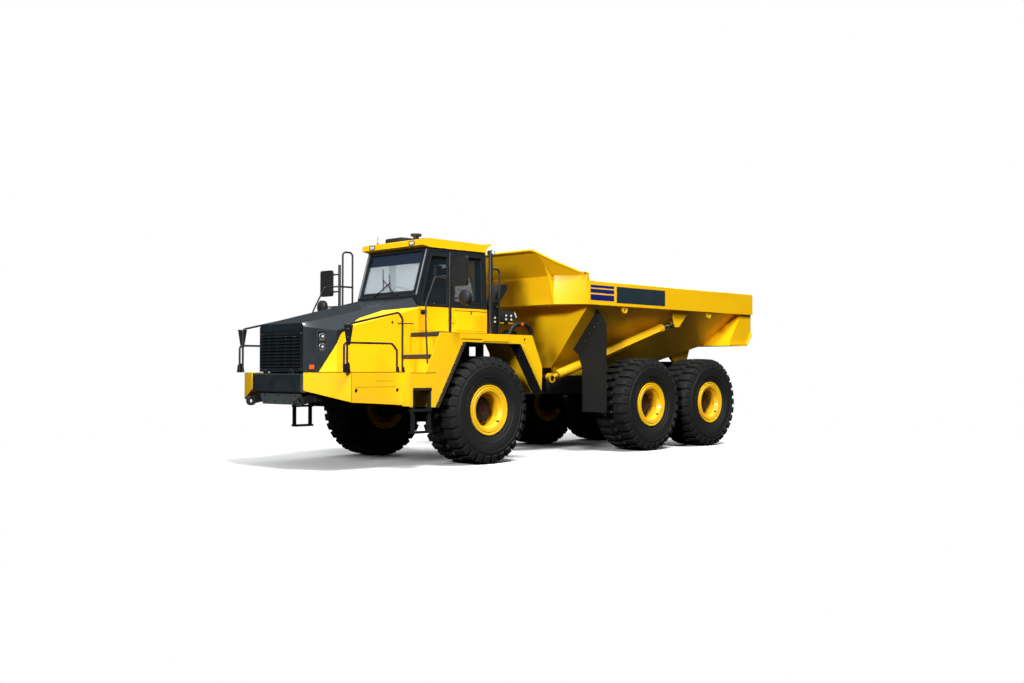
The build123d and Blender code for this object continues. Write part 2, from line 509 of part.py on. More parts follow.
with BuildPart() as cab_glass:
    for y0 in (CAB_HALF - 30, 30 - CAB_HALF - GLASS_T):
        face = polygon(Plane.XZ.offset(-y0), along(REAR_PANE))
        extrude(offset(face, -SEAT_GAP, mode=Mode.PRIVATE), amount=-GLASS_T)
    face = polygon(Plane.XZ.offset(CAB_HALF - 22), along(RIGHT_PANE))
    extrude(offset(face, -SEAT_GAP, mode=Mode.PRIVATE), amount=-GLASS_T)
    half, low, high = WINDSCREEN
    slope = (800 - 560) / (CAB_TOP - 2780)
    depth = 24
    wall_y(along([(800 - slope * (low - 2780) - depth, low + SEAT_GAP),
                  (800 - slope * (high - 2780) - depth, high - SEAT_GAP),
                  (800 - slope * (high - 2780) - depth - GLASS_T, high - SEAT_GAP),
                  (800 - slope * (low - 2780) - depth - GLASS_T, low + SEAT_GAP)]),
           SEAT_GAP - half, half - SEAT_GAP)
    half, low, high = BACKLIGHT
    lean = 40 / (CAB_TOP - 2600)
    wall_y(along([(-800 + lean * (low - 2600) + depth, low + SEAT_GAP),
                  (-800 + lean * (high - 2600) + depth, high - SEAT_GAP),
                  (-800 + lean * (high - 2600) + depth + GLASS_T, high - SEAT_GAP),
                  (-800 + lean * (low - 2600) + depth + GLASS_T, low + SEAT_GAP)]),
           SEAT_GAP - half, half - SEAT_GAP)
cab_glass.part.label = "cab_glass"
export_step(cab_glass.part, "parts/cab_glass.step")

# ---- cab door, hinged at its rear edge, and its pane ----
DOOR_EDGE = [(60 + MOVE_GAP, 2190 + MOVE_GAP), (765 - MOVE_GAP, 2190 + MOVE_GAP), (765 - MOVE_GAP, 2779),
             (540 - MOVE_GAP, 3545 - MOVE_GAP), (60 + MOVE_GAP, 3545 - MOVE_GAP)]
DOOR_PANE = [(130, 2640), (690, 2640), (690, 2775), (495, 3470), (130, 3470)]
with BuildPart() as cab_door:
    wall_y(along(DOOR_EDGE), CAB_HALF - CAB_T, CAB_HALF)
    wall_y(along(DOOR_PANE), CAB_HALF - CAB_T - 1, CAB_HALF + 1, Mode.SUBTRACT)
    for z in HINGE_Z:
        block(fx(DOOR_X), fx(DOOR_X + 80), CAB_HALF, DOOR_Y + 6, z - 4.6, z + 40)
        bar((fx(DOOR_X), DOOR_Y, z - 4.6), (fx(DOOR_X), DOOR_Y, z + 40), 14)
        bar((fx(DOOR_X), DOOR_Y, z - 5), (fx(DOOR_X), DOOR_Y, z + 41), 7 + PIN_GAP, Mode.SUBTRACT)
cab_door.part.label = "cab_door"
export_step(cab_door.part, "parts/cab_door.step")

with BuildPart() as door_glass:
    face = polygon(Plane.XZ.offset(30 - CAB_HALF), along(DOOR_PANE))
    extrude(offset(face, -SEAT_GAP, mode=Mode.PRIVATE), amount=-GLASS_T)
door_glass.part.label = "door_glass"
export_step(door_glass.part, "parts/door_glass.step")

# ---- cab roof with its visor, and the lamps in it ----
LAMP_Y = 530
with BuildPart() as cab_roof:
    wall_y(along([(-760, CAB_TOP), (560, CAB_TOP), (690, 3625), (685, 3712), (560, ROOF_TOP), (-790, 3735),
                  (-880, 3765), (-900, 3745), (-800, 3690), (-770, 3650)]), -816, 816)
    for y in (-LAMP_Y, LAMP_Y):
        block(fx(640), fx(700), y - 62, y + 62, 3640, 3704, Mode.SUBTRACT)
cab_roof.part.label = "cab_roof"
export_step(cab_roof.part, "parts/cab_roof.step")

with BuildPart() as work_lamps:
    for y in (-LAMP_Y, LAMP_Y):
        block(fx(640 + SEAT_GAP), fx(696), y - 60, y + 60, 3642, 3702)
work_lamps.part.label = "work_lamps"
export_step(work_lamps.part, "parts/work_lamps.step")

# ---- roof unit, beacon and aerial ----
with BuildPart() as roof_unit:
    wall_x([(-250, ROOF_TOP - 20), (250, ROOF_TOP - 20), (220, 3835), (-220, 3835)], fx(-380), fx(120))
    bar((fx(360), 250, ROOF_TOP - 3), (fx(360), 250, 3840), 50)
    bar((fx(440), -700, ROOF_TOP - 3), (fx(440), -700, ROOF_TOP + 40), 18)
    bar((fx(440), -700, ROOF_TOP + 30), (fx(440), -700, 3905), 4)
    wall_y(along([(900, 3500), (900, CAB_TOP), (560, ROOF_TOP), (-790, 3735), (-790, 3500)]), -800, 800, Mode.SUBTRACT)
roof_unit.part.label = "roof_unit"
export_step(roof_unit.part, "parts/roof_unit.step")

# ---- dashboard, steering wheel and the operator's seat ----
CONSOLE = along([(745, CAB_FLOOR), (745, 2770), (520, 2830), (470, 2760), (560, 2600), (600, CAB_FLOOR)])
with BuildPart() as dashboard:
    wall_y(CONSOLE, -420, 420)
dashboard.part.label = "dashboard"
export_step(dashboard.part, "parts/dashboard.step")

with BuildPart() as steering_wheel:
    column = Plane(origin=(fx(400), 0, 2860), x_dir=(0, 1, 0), z_dir=(-0.5, 0, 0.866))
    bar((fx(540), 0, 2640), (fx(400), 0, 2860), 28)
    with BuildSketch(Plane(origin=(fx(400), 0, 2860), x_dir=(0, 1, 0), z_dir=(1, 0, 0))):
        with Locations((215, 0)):
            Circle(15)
    revolve(axis=Axis((fx(400), 0, 2860), (-0.5, 0, 0.866)))
    for turn in (90, 210, 330):
        end = column.from_local_coords((210 * cos(radians(turn)), 210 * sin(radians(turn)), 0))
        bar((fx(400), 0, 2860), tuple(end), 12)
    wall_y(CONSOLE, -420, 420, Mode.SUBTRACT)
steering_wheel.part.label = "steering_wheel"
export_step(steering_wheel.part, "parts/steering_wheel.step")

with BuildPart() as operator_seat:
    block(fx(-330), fx(-30), -200, 200, CAB_FLOOR, CAB_FLOOR + 330)
    wall_y(along([(-420, 2480), (60, 2480), (90, 2540), (60, 2600), (-420, 2580)]), -260, 260)
    wall_y(along([(-420, 2500), (-300, 2500), (-400, 3200), (-480, 3200), (-500, 3100)]), -250, 250)
    wall_y(along([(-400, 3210), (-470, 3210), (-490, 3380), (-430, 3380)]), -130, 130)
    block(fx(-450), fx(-430), -60, 60, 3180, 3230)
operator_seat.part.label = "operator_seat"
export_step(operator_seat.part, "parts/operator_seat.step")

# ---- hood: lofted shell, split into the dark top and mask and the yellow sides ----
# station ahead of the axle, half width, shoulder height, half width of the top, height of the top
HOOD = [(860, HOOD_HALF, 2560, 740, 2738), (2500, HOOD_HALF, 2150, 660, 2352), (2905, 600, 2205, 570, 2264)]
HOOD_SPLIT = [(700, HOOD_Z - 10), (700, 2594), (1520, 2500), (2000, 2360), (2120, 2300), (2430, 2095),
              (2720, HOOD_Z - 10)]
GRILLE = (575, 1535, 2180)           # half width, lower and upper edge


def hood_solid(inset):
    """The hood's outer form, drawn in by this much except at its open rear and underside."""
    sections = []
    for i, (ahead, half, shoulder, top_half, top) in enumerate(HOOD):
        x = fx(ahead - (inset if i == len(HOOD) - 1 else 0) - (1 if inset and i == 0 else 0))
        w, s, tw, t = half - inset, shoulder - inset / 2, top_half - inset / 2, top - inset
        low = HOOD_Z - (1 if inset else 0)
        sections.append(polygon(Plane.YZ.offset(x), [(-w, low), (-w, s), (-tw, t), (tw, t), (w, s), (w, low)]))
    return loft(sections, ruled=True, mode=Mode.PRIVATE)


def mask_block(side, across, heights, depths, mode=Mode.ADD):
    """Block on the hood's slanted front corner: distances along the face, heights, and depths proud of it."""
    (front, half, *_), (rear, wide, *_) = HOOD[2], HOOD[1]
    run = Vector(rear - front, wide - half, 0).normalized()
    plane = Plane(origin=(fx(front), side * half, 0), x_dir=(run.X, side * run.Y, 0), z_dir=(run.Y, -side * run.X, 0))
    (t0, t1), (z0, z1), (d0, d1) = across, heights, depths
    outline = [(t0, side * z0), (t1, side * z0), (t1, side * z1), (t0, side * z1)]
    extrude(polygon(plane.offset(d0), outline), amount=d1 - d0, mode=mode)


with BuildPart() as hood_top:
    add(hood_solid(0))
    add(hood_solid(HOOD_T), mode=Mode.SUBTRACT)
    wall_y(along(HOOD_SPLIT), -1000, 1000, Mode.SUBTRACT)
    half, low, high = GRILLE
    block(fx(2880), fx(2920), -half, half, low, high, Mode.SUBTRACT)
    # hinge lugs below the grille
    ahead, z = HOOD_HINGE
    for y in (-HOOD_LUG_Y, HOOD_LUG_Y):
        block(fx(2900), fx(ahead), y - 20, y + 20, HOOD_Z + 1, z - 1)
        bar((fx(ahead), y - 20, z), (fx(ahead), y + 20, z), 22)
        bar((fx(ahead), y - 21, z), (fx(ahead), y + 21, z), 12 + PIN_GAP, Mode.SUBTRACT)
    # recesses of the headlamps
    for side in (1, -1):
        mask_block(side, (213, 357), (1803, 2142), (-72, -2))
        mask_block(side, (225, 345), (1815, 2130), (-60, 5), Mode.SUBTRACT)
hood_top.part.label = "hood_top"
export_step(hood_top.part, "parts/hood_top.step")

with BuildPart() as hood_sides:
    add(hood_solid(0))
    add(hood_solid(HOOD_T), mode=Mode.SUBTRACT)
    wall_y(along(HOOD_SPLIT), -1000, 1000, Mode.INTERSECT)
hood_sides.part.label = "hood_sides"
export_step(hood_sides.part, "parts/hood_sides.step")

with BuildPart() as headlamps:
    for side in (1, -1):
        for heights in ((1822, 1966), (1980, 2123)):
            mask_block(side, (230, 340), heights, (-60 + SEAT_GAP, -20))
headlamps.part.label = "headlamps"
export_step(headlamps.part, "parts/headlamps.step")

with BuildPart() as signal_lamps:
    for side in (1, -1):
        mask_block(side, (95, 165), (1558, 1622), (SEAT_GAP, 24))
signal_lamps.part.label = "signal_lamps"
export_step(signal_lamps.part, "parts/signal_lamps.step")

# ---- grille: frame, tilted louvres and upright bars ----
LOUVRES = 10
with BuildPart() as grille:
    half, low, high = GRILLE
    g = SEAT_GAP
    block(fx(2868), fx(2918), g - half, half - g, low + g, high - g)
    block(fx(2860), fx(2930), 35 - half, half - 35, low + 30, high - 110, Mode.SUBTRACT)
    pitch = (high - 110 - low - 30) / LOUVRES
    for i in range(LOUVRES):
        z = low + 30 + (i + 0.5) * pitch
        wall_y(along([(2872, z + 10), (2912, z - 18), (2914, z - 8), (2874, z + 20)]), 30 - half, half - 30)
    for y in (-345, -115, 115, 345):
        block(fx(2876), fx(2916), y - 9, y + 9, low + 20, high - 100)
grille.part.label = "grille"
export_step(grille.part, "parts/grille.step")

# ---- rear deck behind the cab: platform, equipment box and exhaust ----
with BuildPart() as rear_deck:
    block(fx(-1080), fx(-830), 0, FENDER_IN - SEAT_GAP, FENDER_Z - 60, FENDER_Z)
    block(fx(-1010), fx(-900), RAIL_IN, RAIL_OUT, LUG_TOP, FENDER_Z - 60)
    block(fx(-1070), fx(-850), 300, 800, FENDER_Z, 2650)
    mirror(about=Plane.XZ)
    # air duct on the left box
    wall_y(along([(-890, 2649), (-1050, 2649), (-1330, 2990), (-1330, 3040), (-1290, 3070), (-1190, 3070)]), 600, 780)
rear_deck.part.label = "rear_deck"
export_step(rear_deck.part, "parts/rear_deck.step")

# ---- hydraulic hoses: each arches from the deck's rear edge down to the tail box ----
with BuildPart() as hoses:
    for y, reach in ((640, 1560), (740, 1640)):
        low = 2420 - y
        tube([(fx(-1080), y, 2110), (fx(-1200), y, 2110), (fx(-reach), y, 2330), (fx(-reach), y - 60, low),
              (hx(420), 0.8 * y - 330, low - 150), (hx(420), 0.8 * y - 330, LUG_TOP)], 28, 90)
    mirror(about=Plane.XZ)
hoses.part.label = "hoses"
export_step(hoses.part, "parts/hoses.step")

with BuildPart() as exhaust:
    bar((fx(-930), -620, 2650), (fx(-930), -620, 3100), 110)
    bar((fx(-930), -620, 3090), (fx(-930), -620, 3480), 65)
exhaust.part.label = "exhaust"
export_step(exhaust.part, "parts/exhaust.step")

# ---- hitch: king pin, yoke, oscillation trunnion and steering ears ----
YOKE_R = 120
with BuildPart() as hitch:
    bar((hx(0), 0, LUG_LOW - 20), (hx(0), 0, LUG_TOP + 20), KING_R)
    bar((hx(0), 0, LUG_LOW + LUG_T + MOVE_GAP), (hx(0), 0, LUG_TOP - LUG_T - MOVE_GAP), YOKE_R)
    block(hx(-190), hx(0), -YOKE_R, YOKE_R, LUG_LOW + LUG_T + MOVE_GAP, LUG_TOP - LUG_T - MOVE_GAP)
    bar((hx(-180), 0, HITCH_Z), (hx(-235), 0, HITCH_Z), HOUSING_R)
    bar((hx(-200), 0, HITCH_Z), (hx(-560), 0, HITCH_Z), TRUNNION_R)
    ear_top = STEER_EYE[2] - STEER_EYE_H / 2 - MOVE_GAP
    wall_z([(hx(-60), -325), (hx(-60), 325), (hx(-118), 383), (hx(-155), 420), (hx(-190), 425), (hx(-230), 390),
            (hx(-230), -390), (hx(-190), -425), (hx(-155), -420), (hx(-118), -383)], ear_top - 40, ear_top)
hitch.part.label = "hitch"
export_step(hitch.part, "parts/hitch.step")

# ---- steering and hoist cylinders: barrel and rod on each side ----


def barrel_and_rod(base, eye, cylinder, side):
    """Barrel and rod solids of one cylinder between its two pins."""
    base = (base[0], side * base[1], base[2])
    eye = (eye[0], side * eye[1], eye[2])
    run = (Vector(*eye) - Vector(*base)).length
    across = (Vector(0, 0, 1) if cylinder["upright"] else Vector(0, side, 0)) * (cylinder["eye_w"] / 2)
    barrel_r, rod_r, eye_r, pin_r = (cylinder[key] for key in ("barrel_r", "rod_r", "eye_r", "pin_r"))
    body_in, gland, (piston_in, piston_out) = cylinder["body_in"], cylinder["gland"], cylinder["piston"]
    barrel_end = run - cylinder["spare"]
    with BuildPart() as barrel:
        bar(point_on(base, eye, 0.6 * eye_r), point_on(base, eye, body_in + 10), 0.48 * cylinder["eye_w"])
        bar(point_on(base, eye, body_in), point_on(base, eye, barrel_end), barrel_r)
        bar(point_on(base, eye, barrel_end - gland), point_on(base, eye, barrel_end), barrel_r + 6)
        bar(tuple(Vector(*base) - across), tuple(Vector(*base) + across), eye_r)
        if cylinder["pipe_r"]:
            # oil pipe to the gland end, held off the barrel on its outboard side
            line = (Vector(*eye) - Vector(*base)).normalized()
            out = (Vector(0, side, 0) - line * line.dot(Vector(0, side, 0))).normalized() * (barrel_r + 22)
            pipe = [body_in + 760, barrel_end - gland - 40]
            ends = [Vector(*point_on(base, eye, at)) for at in pipe]
            bar(tuple(ends[0] + out), tuple(ends[1] + out), cylinder["pipe_r"])
            for share in (0.02, 0.5, 0.98):
                spot = ends[0] + (ends[1] - ends[0]) * share
                bar(tuple(spot), tuple(spot + out), 1.5 * cylinder["pipe_r"])
        bar(tuple(Vector(*base) - across * 1.2), tuple(Vector(*base) + across * 1.2), pin_r + PIN_GAP, Mode.SUBTRACT)
        if cylinder["ball_r"]:
            with Locations(base):
                Sphere(cylinder["ball_r"] + 2 * PIN_GAP, mode=Mode.SUBTRACT)
        bar(point_on(base, eye, body_in + 18), point_on(base, eye, barrel_end - gland + 5), barrel_r - 16,
            Mode.SUBTRACT)
        bar(point_on(base, eye, barrel_end - gland), point_on(base, eye, barrel_end + 5), rod_r + PIN_GAP,
            Mode.SUBTRACT)
    with BuildPart() as rod:
        bar(point_on(base, eye, piston_in), point_on(base, eye, run - 0.8 * eye_r), rod_r)
        bar(point_on(base, eye, piston_in), point_on(base, eye, piston_out), barrel_r - 17)
        bar(tuple(Vector(*eye) - across), tuple(Vector(*eye) + across), eye_r)
        # the upper pin is fixed in the rod's eye
        bar(tuple(Vector(*eye) - across), tuple(Vector(*eye) + across * 1.33), pin_r)
    return barrel, rod


# body_in: base pin to the barrel's body; piston: its two faces from the base pin; spare: barrel's end to the eye;
# ball_r: spherical bearing in the base eye, or 0 for a plain pin; upright: direction of both pins; pipe_r: oil pipe
STEER_CYLINDER = {"barrel_r": STEER_BARREL_R, "rod_r": STEER_ROD_R, "eye_r": 50, "eye_w": STEER_EYE_H, "pin_r": 28,
                  "upright": True, "body_in": 60, "gland": 35, "piston": (362, 402), "spare": 365, "ball_r": 0,
                  "pipe_r": 0}
HOIST_CYLINDER = {"barrel_r": HOIST_R, "rod_r": HOIST_ROD_R, "eye_r": 90, "eye_w": 90, "pin_r": HOIST_PIN_R,
                  "upright": False, "body_in": 160, "gland": 80, "piston": (980, 1060), "spare": 287,
                  "ball_r": HOIST_BALL_R, "pipe_r": 13}
for word, side in (("left", 1), ("right", -1)):
    barrel, rod = barrel_and_rod(STEER_BASE, STEER_EYE, STEER_CYLINDER, side)
    barrel.part.label = f"steer_barrel_{word}"
    export_step(barrel.part, f"parts/steer_barrel_{word}.step")
    rod.part.label = f"steer_rod_{word}"
    export_step(rod.part, f"parts/steer_rod_{word}.step")
    barrel, rod = barrel_and_rod(HOIST_BASE, HOIST_EYE, HOIST_CYLINDER, side)
    barrel.part.label = f"hoist_barrel_{word}"
    export_step(barrel.part, f"parts/hoist_barrel_{word}.step")
    rod.part.label = f"hoist_rod_{word}"
    export_step(rod.part, f"parts/hoist_rod_{word}.step")

# ---- rear frame: bearing housing, rails, cross tubes, hoist pins and body pivot ----
BEAM_Y = 720           # middle of each equalizer beam
BEAM_Z = 960
with BuildPart() as rear_frame:
    wall_y([(hx(-820), REAR_BOTTOM), (hx(-820), REAR_TOP), (PIVOT_X + 320, REAR_TOP), (PIVOT_X + 60, PIVOT_Z + 60),
            (PIVOT_X - 90, PIVOT_Z + 60), (PIVOT_X - 90, PIVOT_Z - 90), (PIVOT_X + 200, REAR_BOTTOM + 60),
            (PIVOT_X + 700, REAR_BOTTOM)], RAIL_IN, RAIL_OUT)
    wall_z([(hx(-400), 0), (hx(-400), HOUSING_R - 20), (hx(-860), RAIL_OUT), (hx(-1200), RAIL_OUT),
            (hx(-1200), RAIL_IN), (hx(-900), RAIL_IN - 20), (hx(-700), 0)], REAR_BOTTOM, HITCH_Z + 180)
    bar((HOIST_BASE[0], 0, HOIST_BASE[2]), (HOIST_BASE[0], HOIST_BASE[1] - 56, HOIST_BASE[2]), 62)
    bar((HOIST_BASE[0], 0, HOIST_BASE[2]), (HOIST_BASE[0], HOIST_BASE[1] + 62, HOIST_BASE[2]), HOIST_PIN_R)
    add(Pos(*HOIST_BASE) * (Sphere(HOIST_BALL_R, mode=Mode.PRIVATE) & Box(200, 68, 200, mode=Mode.PRIVATE)))
    for x in (MIDDLE_X + 560, BOGIE_X, REAR_X + 420):
        bar((x, 0, REAR_BOTTOM + 160), (x, RAIL_IN + 10, REAR_BOTTOM + 160), 90)
    # trunnions of the equalizer beams
    wall_y([(BOGIE_X - 220, REAR_BOTTOM + 10), (BOGIE_X - 90, BEAM_Z - 90), (BOGIE_X + 90, BEAM_Z - 90),
            (BOGIE_X + 220, REAR_BOTTOM + 10)], RAIL_IN, RAIL_OUT)
    bar((BOGIE_X, RAIL_IN, BEAM_Z), (BOGIE_X, BEAM_Y + 90, BEAM_Z), 60)
    bar((PIVOT_X, 0, PIVOT_Z), (PIVOT_X, RAIL_OUT + 8, PIVOT_Z), 85)
    bar((PIVOT_X, 0, PIVOT_Z), (PIVOT_X, RAIL_OUT + 110, PIVOT_Z), PIVOT_R)
    mirror(about=Plane.XZ)
    bar((hx(-250), 0, HITCH_Z), (hx(-640), 0, HITCH_Z), HOUSING_R)
    bar((hx(-249), 0, HITCH_Z), (hx(-600), 0, HITCH_Z), TRUNNION_R + PIN_GAP, Mode.SUBTRACT)
rear_frame.part.label = "rear_frame"
export_step(rear_frame.part, "parts/rear_frame.step")

# ---- equalizer beams between the middle and rear axles ----
with BuildPart() as equalizer_beams:
    wall_y([(MIDDLE_X + 90, TYRE_R + AXLE_R + SEAT_GAP), (MIDDLE_X + 90, TYRE_R + AXLE_R + 110),
            (BOGIE_X + 120, BEAM_Z + 190), (BOGIE_X - 120, BEAM_Z + 190), (REAR_X - 90, TYRE_R + AXLE_R + 110),
            (REAR_X - 90, TYRE_R + AXLE_R + SEAT_GAP), (REAR_X + 260, TYRE_R + 60), (BOGIE_X - 120, BEAM_Z - 130),
            (BOGIE_X + 120, BEAM_Z - 130), (MIDDLE_X - 260, TYRE_R + 60)], BEAM_Y - 70, BEAM_Y + 70)
    for x in (MIDDLE_X, REAR_X):
        bar((x, BEAM_Y - 71, TYRE_R), (x, BEAM_Y + 71, TYRE_R), AXLE_R + SEAT_GAP, Mode.SUBTRACT)
    bar((BOGIE_X, BEAM_Y - 71, BEAM_Z), (BOGIE_X, BEAM_Y + 71, BEAM_Z), 60 + SEAT_GAP, Mode.SUBTRACT)
    mirror(about=Plane.XZ)
equalizer_beams.part.label = "equalizer_beams"
export_step(equalizer_beams.part, "parts/equalizer_beams.step")

# ---- shaft between the middle and rear axles ----
with BuildPart() as bogie_shaft:
    bar((MIDDLE_X - DIFF_R + 20, 0, NOSE_Z), (REAR_X + NOSE_LEN + SEAT_GAP, 0, NOSE_Z), 60)
    bar((MIDDLE_X, -300, TYRE_R), (MIDDLE_X, 300, TYRE_R), DIFF_R + 0.4, Mode.SUBTRACT)
bogie_shaft.part.label = "bogie_shaft"
export_step(bogie_shaft.part, "parts/bogie_shaft.step")

# ---- dump body ----
WALL_SLOPE = (WALL_TOP_HALF - FLOOR_HALF) / (RAIL_Z0 - FLOOR_Z)    # outward run for each mm of height
FRONT_WALL = HITCH_X - 1340
KINK_X = PIVOT_X + 1370
RISE_X = PIVOT_X - 330
LIP_X = TAIL_X + 200
SIDE_FACE = BODY_T * sqrt(1 + WALL_SLOPE ** 2)                     # wall thickness seen along Y


def hopper(inset, top):
    """V-shaped trough: cross section along the truck, cut to the front wall and the rising floor."""
    floor = FLOOR_Z + (FLOOR_T if inset else 0)
    side = SIDE_FACE if inset else 0
    front = FRONT_WALL - (BODY_T if inset else 0)
    half = FLOOR_HALF + WALL_SLOPE * (floor - FLOOR_Z) - side
    wide = WALL_TOP_HALF - side
    section = [(-half, floor), (-wide, RAIL_Z0), (-wide, top), (wide, top), (wide, RAIL_Z0), (half, floor)]
    end = TAIL_X - (1 if inset else 0)
    rise = FLOOR_T if inset else 0
    profile = [(front, floor), (front, top), (end, top), (end, TAIL_FLOOR_Z + 230 + rise), (LIP_X, TAIL_FLOOR_Z + rise),
               (RISE_X, TAIL_FLOOR_Z + rise), (KINK_X, floor)]
    trough = extrude(polygon(Plane.YZ.offset(end), section), amount=front - end, mode=Mode.PRIVATE)
    slab = extrude(polygon(Plane.XZ.offset(-2000), profile), amount=4000, mode=Mode.PRIVATE)
    return trough & slab


def tail_box(inset):
    """Upright-sided end of the body, its front edge sloping back as it rises."""
    rise = FLOOR_T if inset else 0
    end = TAIL_X - (1 if inset else 0)
    shift = -BODY_T if inset else 0
    profile = [(RISE_X - 70 + shift, TAIL_FLOOR_Z + rise), (RISE_X - 570 + shift, RAIL_Z0 + 20), (end, RAIL_Z0 + 20),
               (end, TAIL_FLOOR_Z + 230 + rise), (LIP_X, TAIL_FLOOR_Z + rise)]
    y = TAIL_HALF + shift
    return extrude(polygon(Plane.XZ.offset(-y), profile), amount=2 * y, mode=Mode.PRIVATE)


# band and guard: height, front edge, its half width, wing end, its half width
BAND = [(BAND_Z0, -780, 1045, -1170, 1480), (BAND_Z1, -800, 1020, -1130, 1545), (GUARD_Z, -270, 990, -900, 1550)]
GUARD_BACK = FRONT_WALL - 20


def band_solid(inset, low, high):
    """Front of the body between two rows of BAND, open towards the load."""
    sections = []
    for row in (low, high):
        z, front, half, wing, wide = BAND[row]
        back = GUARD_BACK - (200 if inset else 0)
        k = 0.45 * inset
        points = [(hx(front) - inset, half - k), (hx(wing) - inset, wide - inset), (back, wide - inset)]
        if inset:
            z += (1 if row == high else 0) - (1 if row == low and low > 0 else 0) + (BODY_T if row == 0 else 0)
        outline = points + [(x, -y) for x, y in reversed(points)]
        sections.append(polygon(Plane.XY.offset(z), outline))
    return loft(sections, ruled=True, mode=Mode.PRIVATE)


with BuildPart() as dump_body:
    add(hopper(False, RAIL_Z0 + 20))
    add(tail_box(False))
    for side in (1, -1):
        rail = [(side * (WALL_TOP_HALF - SIDE_FACE), RAIL_Z0), (side * BODY_HALF, RAIL_Z0), (side * BODY_HALF, RAIL_Z1),
                (side * (BODY_HALF - 25), RAIL_Z1 + 12), (side * (WALL_TOP_HALF - SIDE_FACE), RAIL_Z1 + 12)]
        wall_x(rail, TAIL_X, hx(-1180))
    add(band_solid(0, 0, 1))
    add(band_solid(0, 1, 2))
    for side in (1, -1):
        # fin from the band up to the guard's fold
        y0, y1 = sorted((side * 1002, side * 1020))
        wall_y([(hx(-1000), BAND_Z0), (hx(-786), BAND_Z0), (hx(-635), BAND_Z1 - 8), (hx(-535), 3505), (hx(-1000), 3505)],
               y0, y1)
    # load space
    add(hopper(True, RAIL_Z1 + 700), mode=Mode.SUBTRACT)
    add(tail_box(True), mode=Mode.SUBTRACT)
    add(band_solid(BODY_T, 0, 1), mode=Mode.SUBTRACT)
    add(band_solid(BODY_T, 1, 2), mode=Mode.SUBTRACT)
    # upper edge of the guard falls from its front corner to the rail
    wall_y([(hx(-270), GUARD_Z + 50), (hx(-270), GUARD_Z), (hx(-1040), 3345), (hx(-1160), 3325),
            (hx(-1205), RAIL_Z1 + 12), (hx(-1600), RAIL_Z1 + 12), (hx(-1600), GUARD_Z + 50)], -1700, 1700,
           Mode.SUBTRACT)
    # runners that lie over the frame rails
    for side in (1, -1):
        y0, y1 = sorted((side * (RAIL_IN + 10), side * (RAIL_OUT - 10)))
        block(KINK_X + 60, FRONT_WALL - 60, y0, y1, REAR_TOP + MOVE_GAP, FLOOR_Z + 4)
        # pivot lugs
        y0, y1 = sorted((side * (RAIL_OUT + 16), side * (RAIL_OUT + 96)))
        wall_y([(PIVOT_X + 420, FLOOR_Z + 250), (PIVOT_X + 110, PIVOT_Z - 60), (PIVOT_X + 40, PIVOT_Z - 100),
                (PIVOT_X - 60, PIVOT_Z - 100), (PIVOT_X - 110, PIVOT_Z - 20), (PIVOT_X - 300, TAIL_FLOOR_Z + 4),
                (PIVOT_X - 300, TAIL_FLOOR_Z + 10), (PIVOT_X, TAIL_FLOOR_Z - 60)], y0, y1)
        bar((PIVOT_X, y0 - 1, PIVOT_Z), (PIVOT_X, y1 + 1, PIVOT_Z), PIVOT_R + PIN_GAP, Mode.SUBTRACT)
        # bracket for the hoist cylinder, hanging from the rail
        y0, y1 = sorted((side * (HOIST_EYE[1] + 110), side * (HOIST_EYE[1] + 140)))
        x, z = HOIST_EYE[0], HOIST_EYE[2]
        wall_y([(x + 90, z), (x + 60, z - 70), (x - 60, z - 70), (x - 420, RAIL_Z0 + 2), (x + 140, RAIL_Z0 + 2)], y0, y1)
        bar((x, side * (HOIST_EYE[1] + 73), z), (x, side * (HOIST_EYE[1] + 120), z), HOIST_PIN_R)
        # lifting eyes under the rail
        y0, y1 = sorted((side * 1490, side * 1520))
        for x in (TAIL_X + 1610, TAIL_X + 4386):
            bar((x, y0, RAIL_Z0 - 55), (x, y1, RAIL_Z0 - 55), 75)
            block(x - 75, x + 75, y0, y1, RAIL_Z0 - 55, RAIL_Z0 + 2)
            bar((x, y0 - 1, RAIL_Z0 - 65), (x, y1 + 1, RAIL_Z0 - 65), 35, Mode.SUBTRACT)
        # rib along the lower edge of the tail
        y0, y1 = sorted((side * (TAIL_HALF - 1), side * (TAIL_HALF + 30)))
        low, lip = TAIL_FLOOR_Z, TAIL_FLOOR_Z + 230
        wall_y([(RISE_X - 75, low), (LIP_X, low), (TAIL_X, lip), (TAIL_X, lip + 55), (LIP_X - 14, low + 45),
                (RISE_X - 105, low + 45)], y0, y1)
dump_body.part.label = "dump_body"
export_step(dump_body.part, "parts/dump_body.step")

# ---- mud flaps ahead of the middle wheels, hanging from the body's sloping walls ----
FLAP_X = MIDDLE_X + TYRE_R + 290
with BuildPart() as mud_flaps:
    edge = [(FLOOR_HALF + WALL_SLOPE * (z - FLOOR_Z) + 1, z) for z in (2680, 1940)]
    wall_x([edge[0], (1520, 2460), (BODY_HALF, 2400), (BODY_HALF, 760), (960, 760), (960, 1600), (870, 1830), edge[1]],
           FLAP_X, FLAP_X + 18)
    mirror(about=Plane.XZ)
mud_flaps.part.label = "mud_flaps"
export_step(mud_flaps.part, "parts/mud_flaps.step")
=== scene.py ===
"""Looks of the articulated dump truck: finishes for the CAD nodes, tyres with tread, and the small pieces."""

import json
from math import cos, radians, sin, tau

import bmesh
import bpy
from mathutils import Matrix, Vector


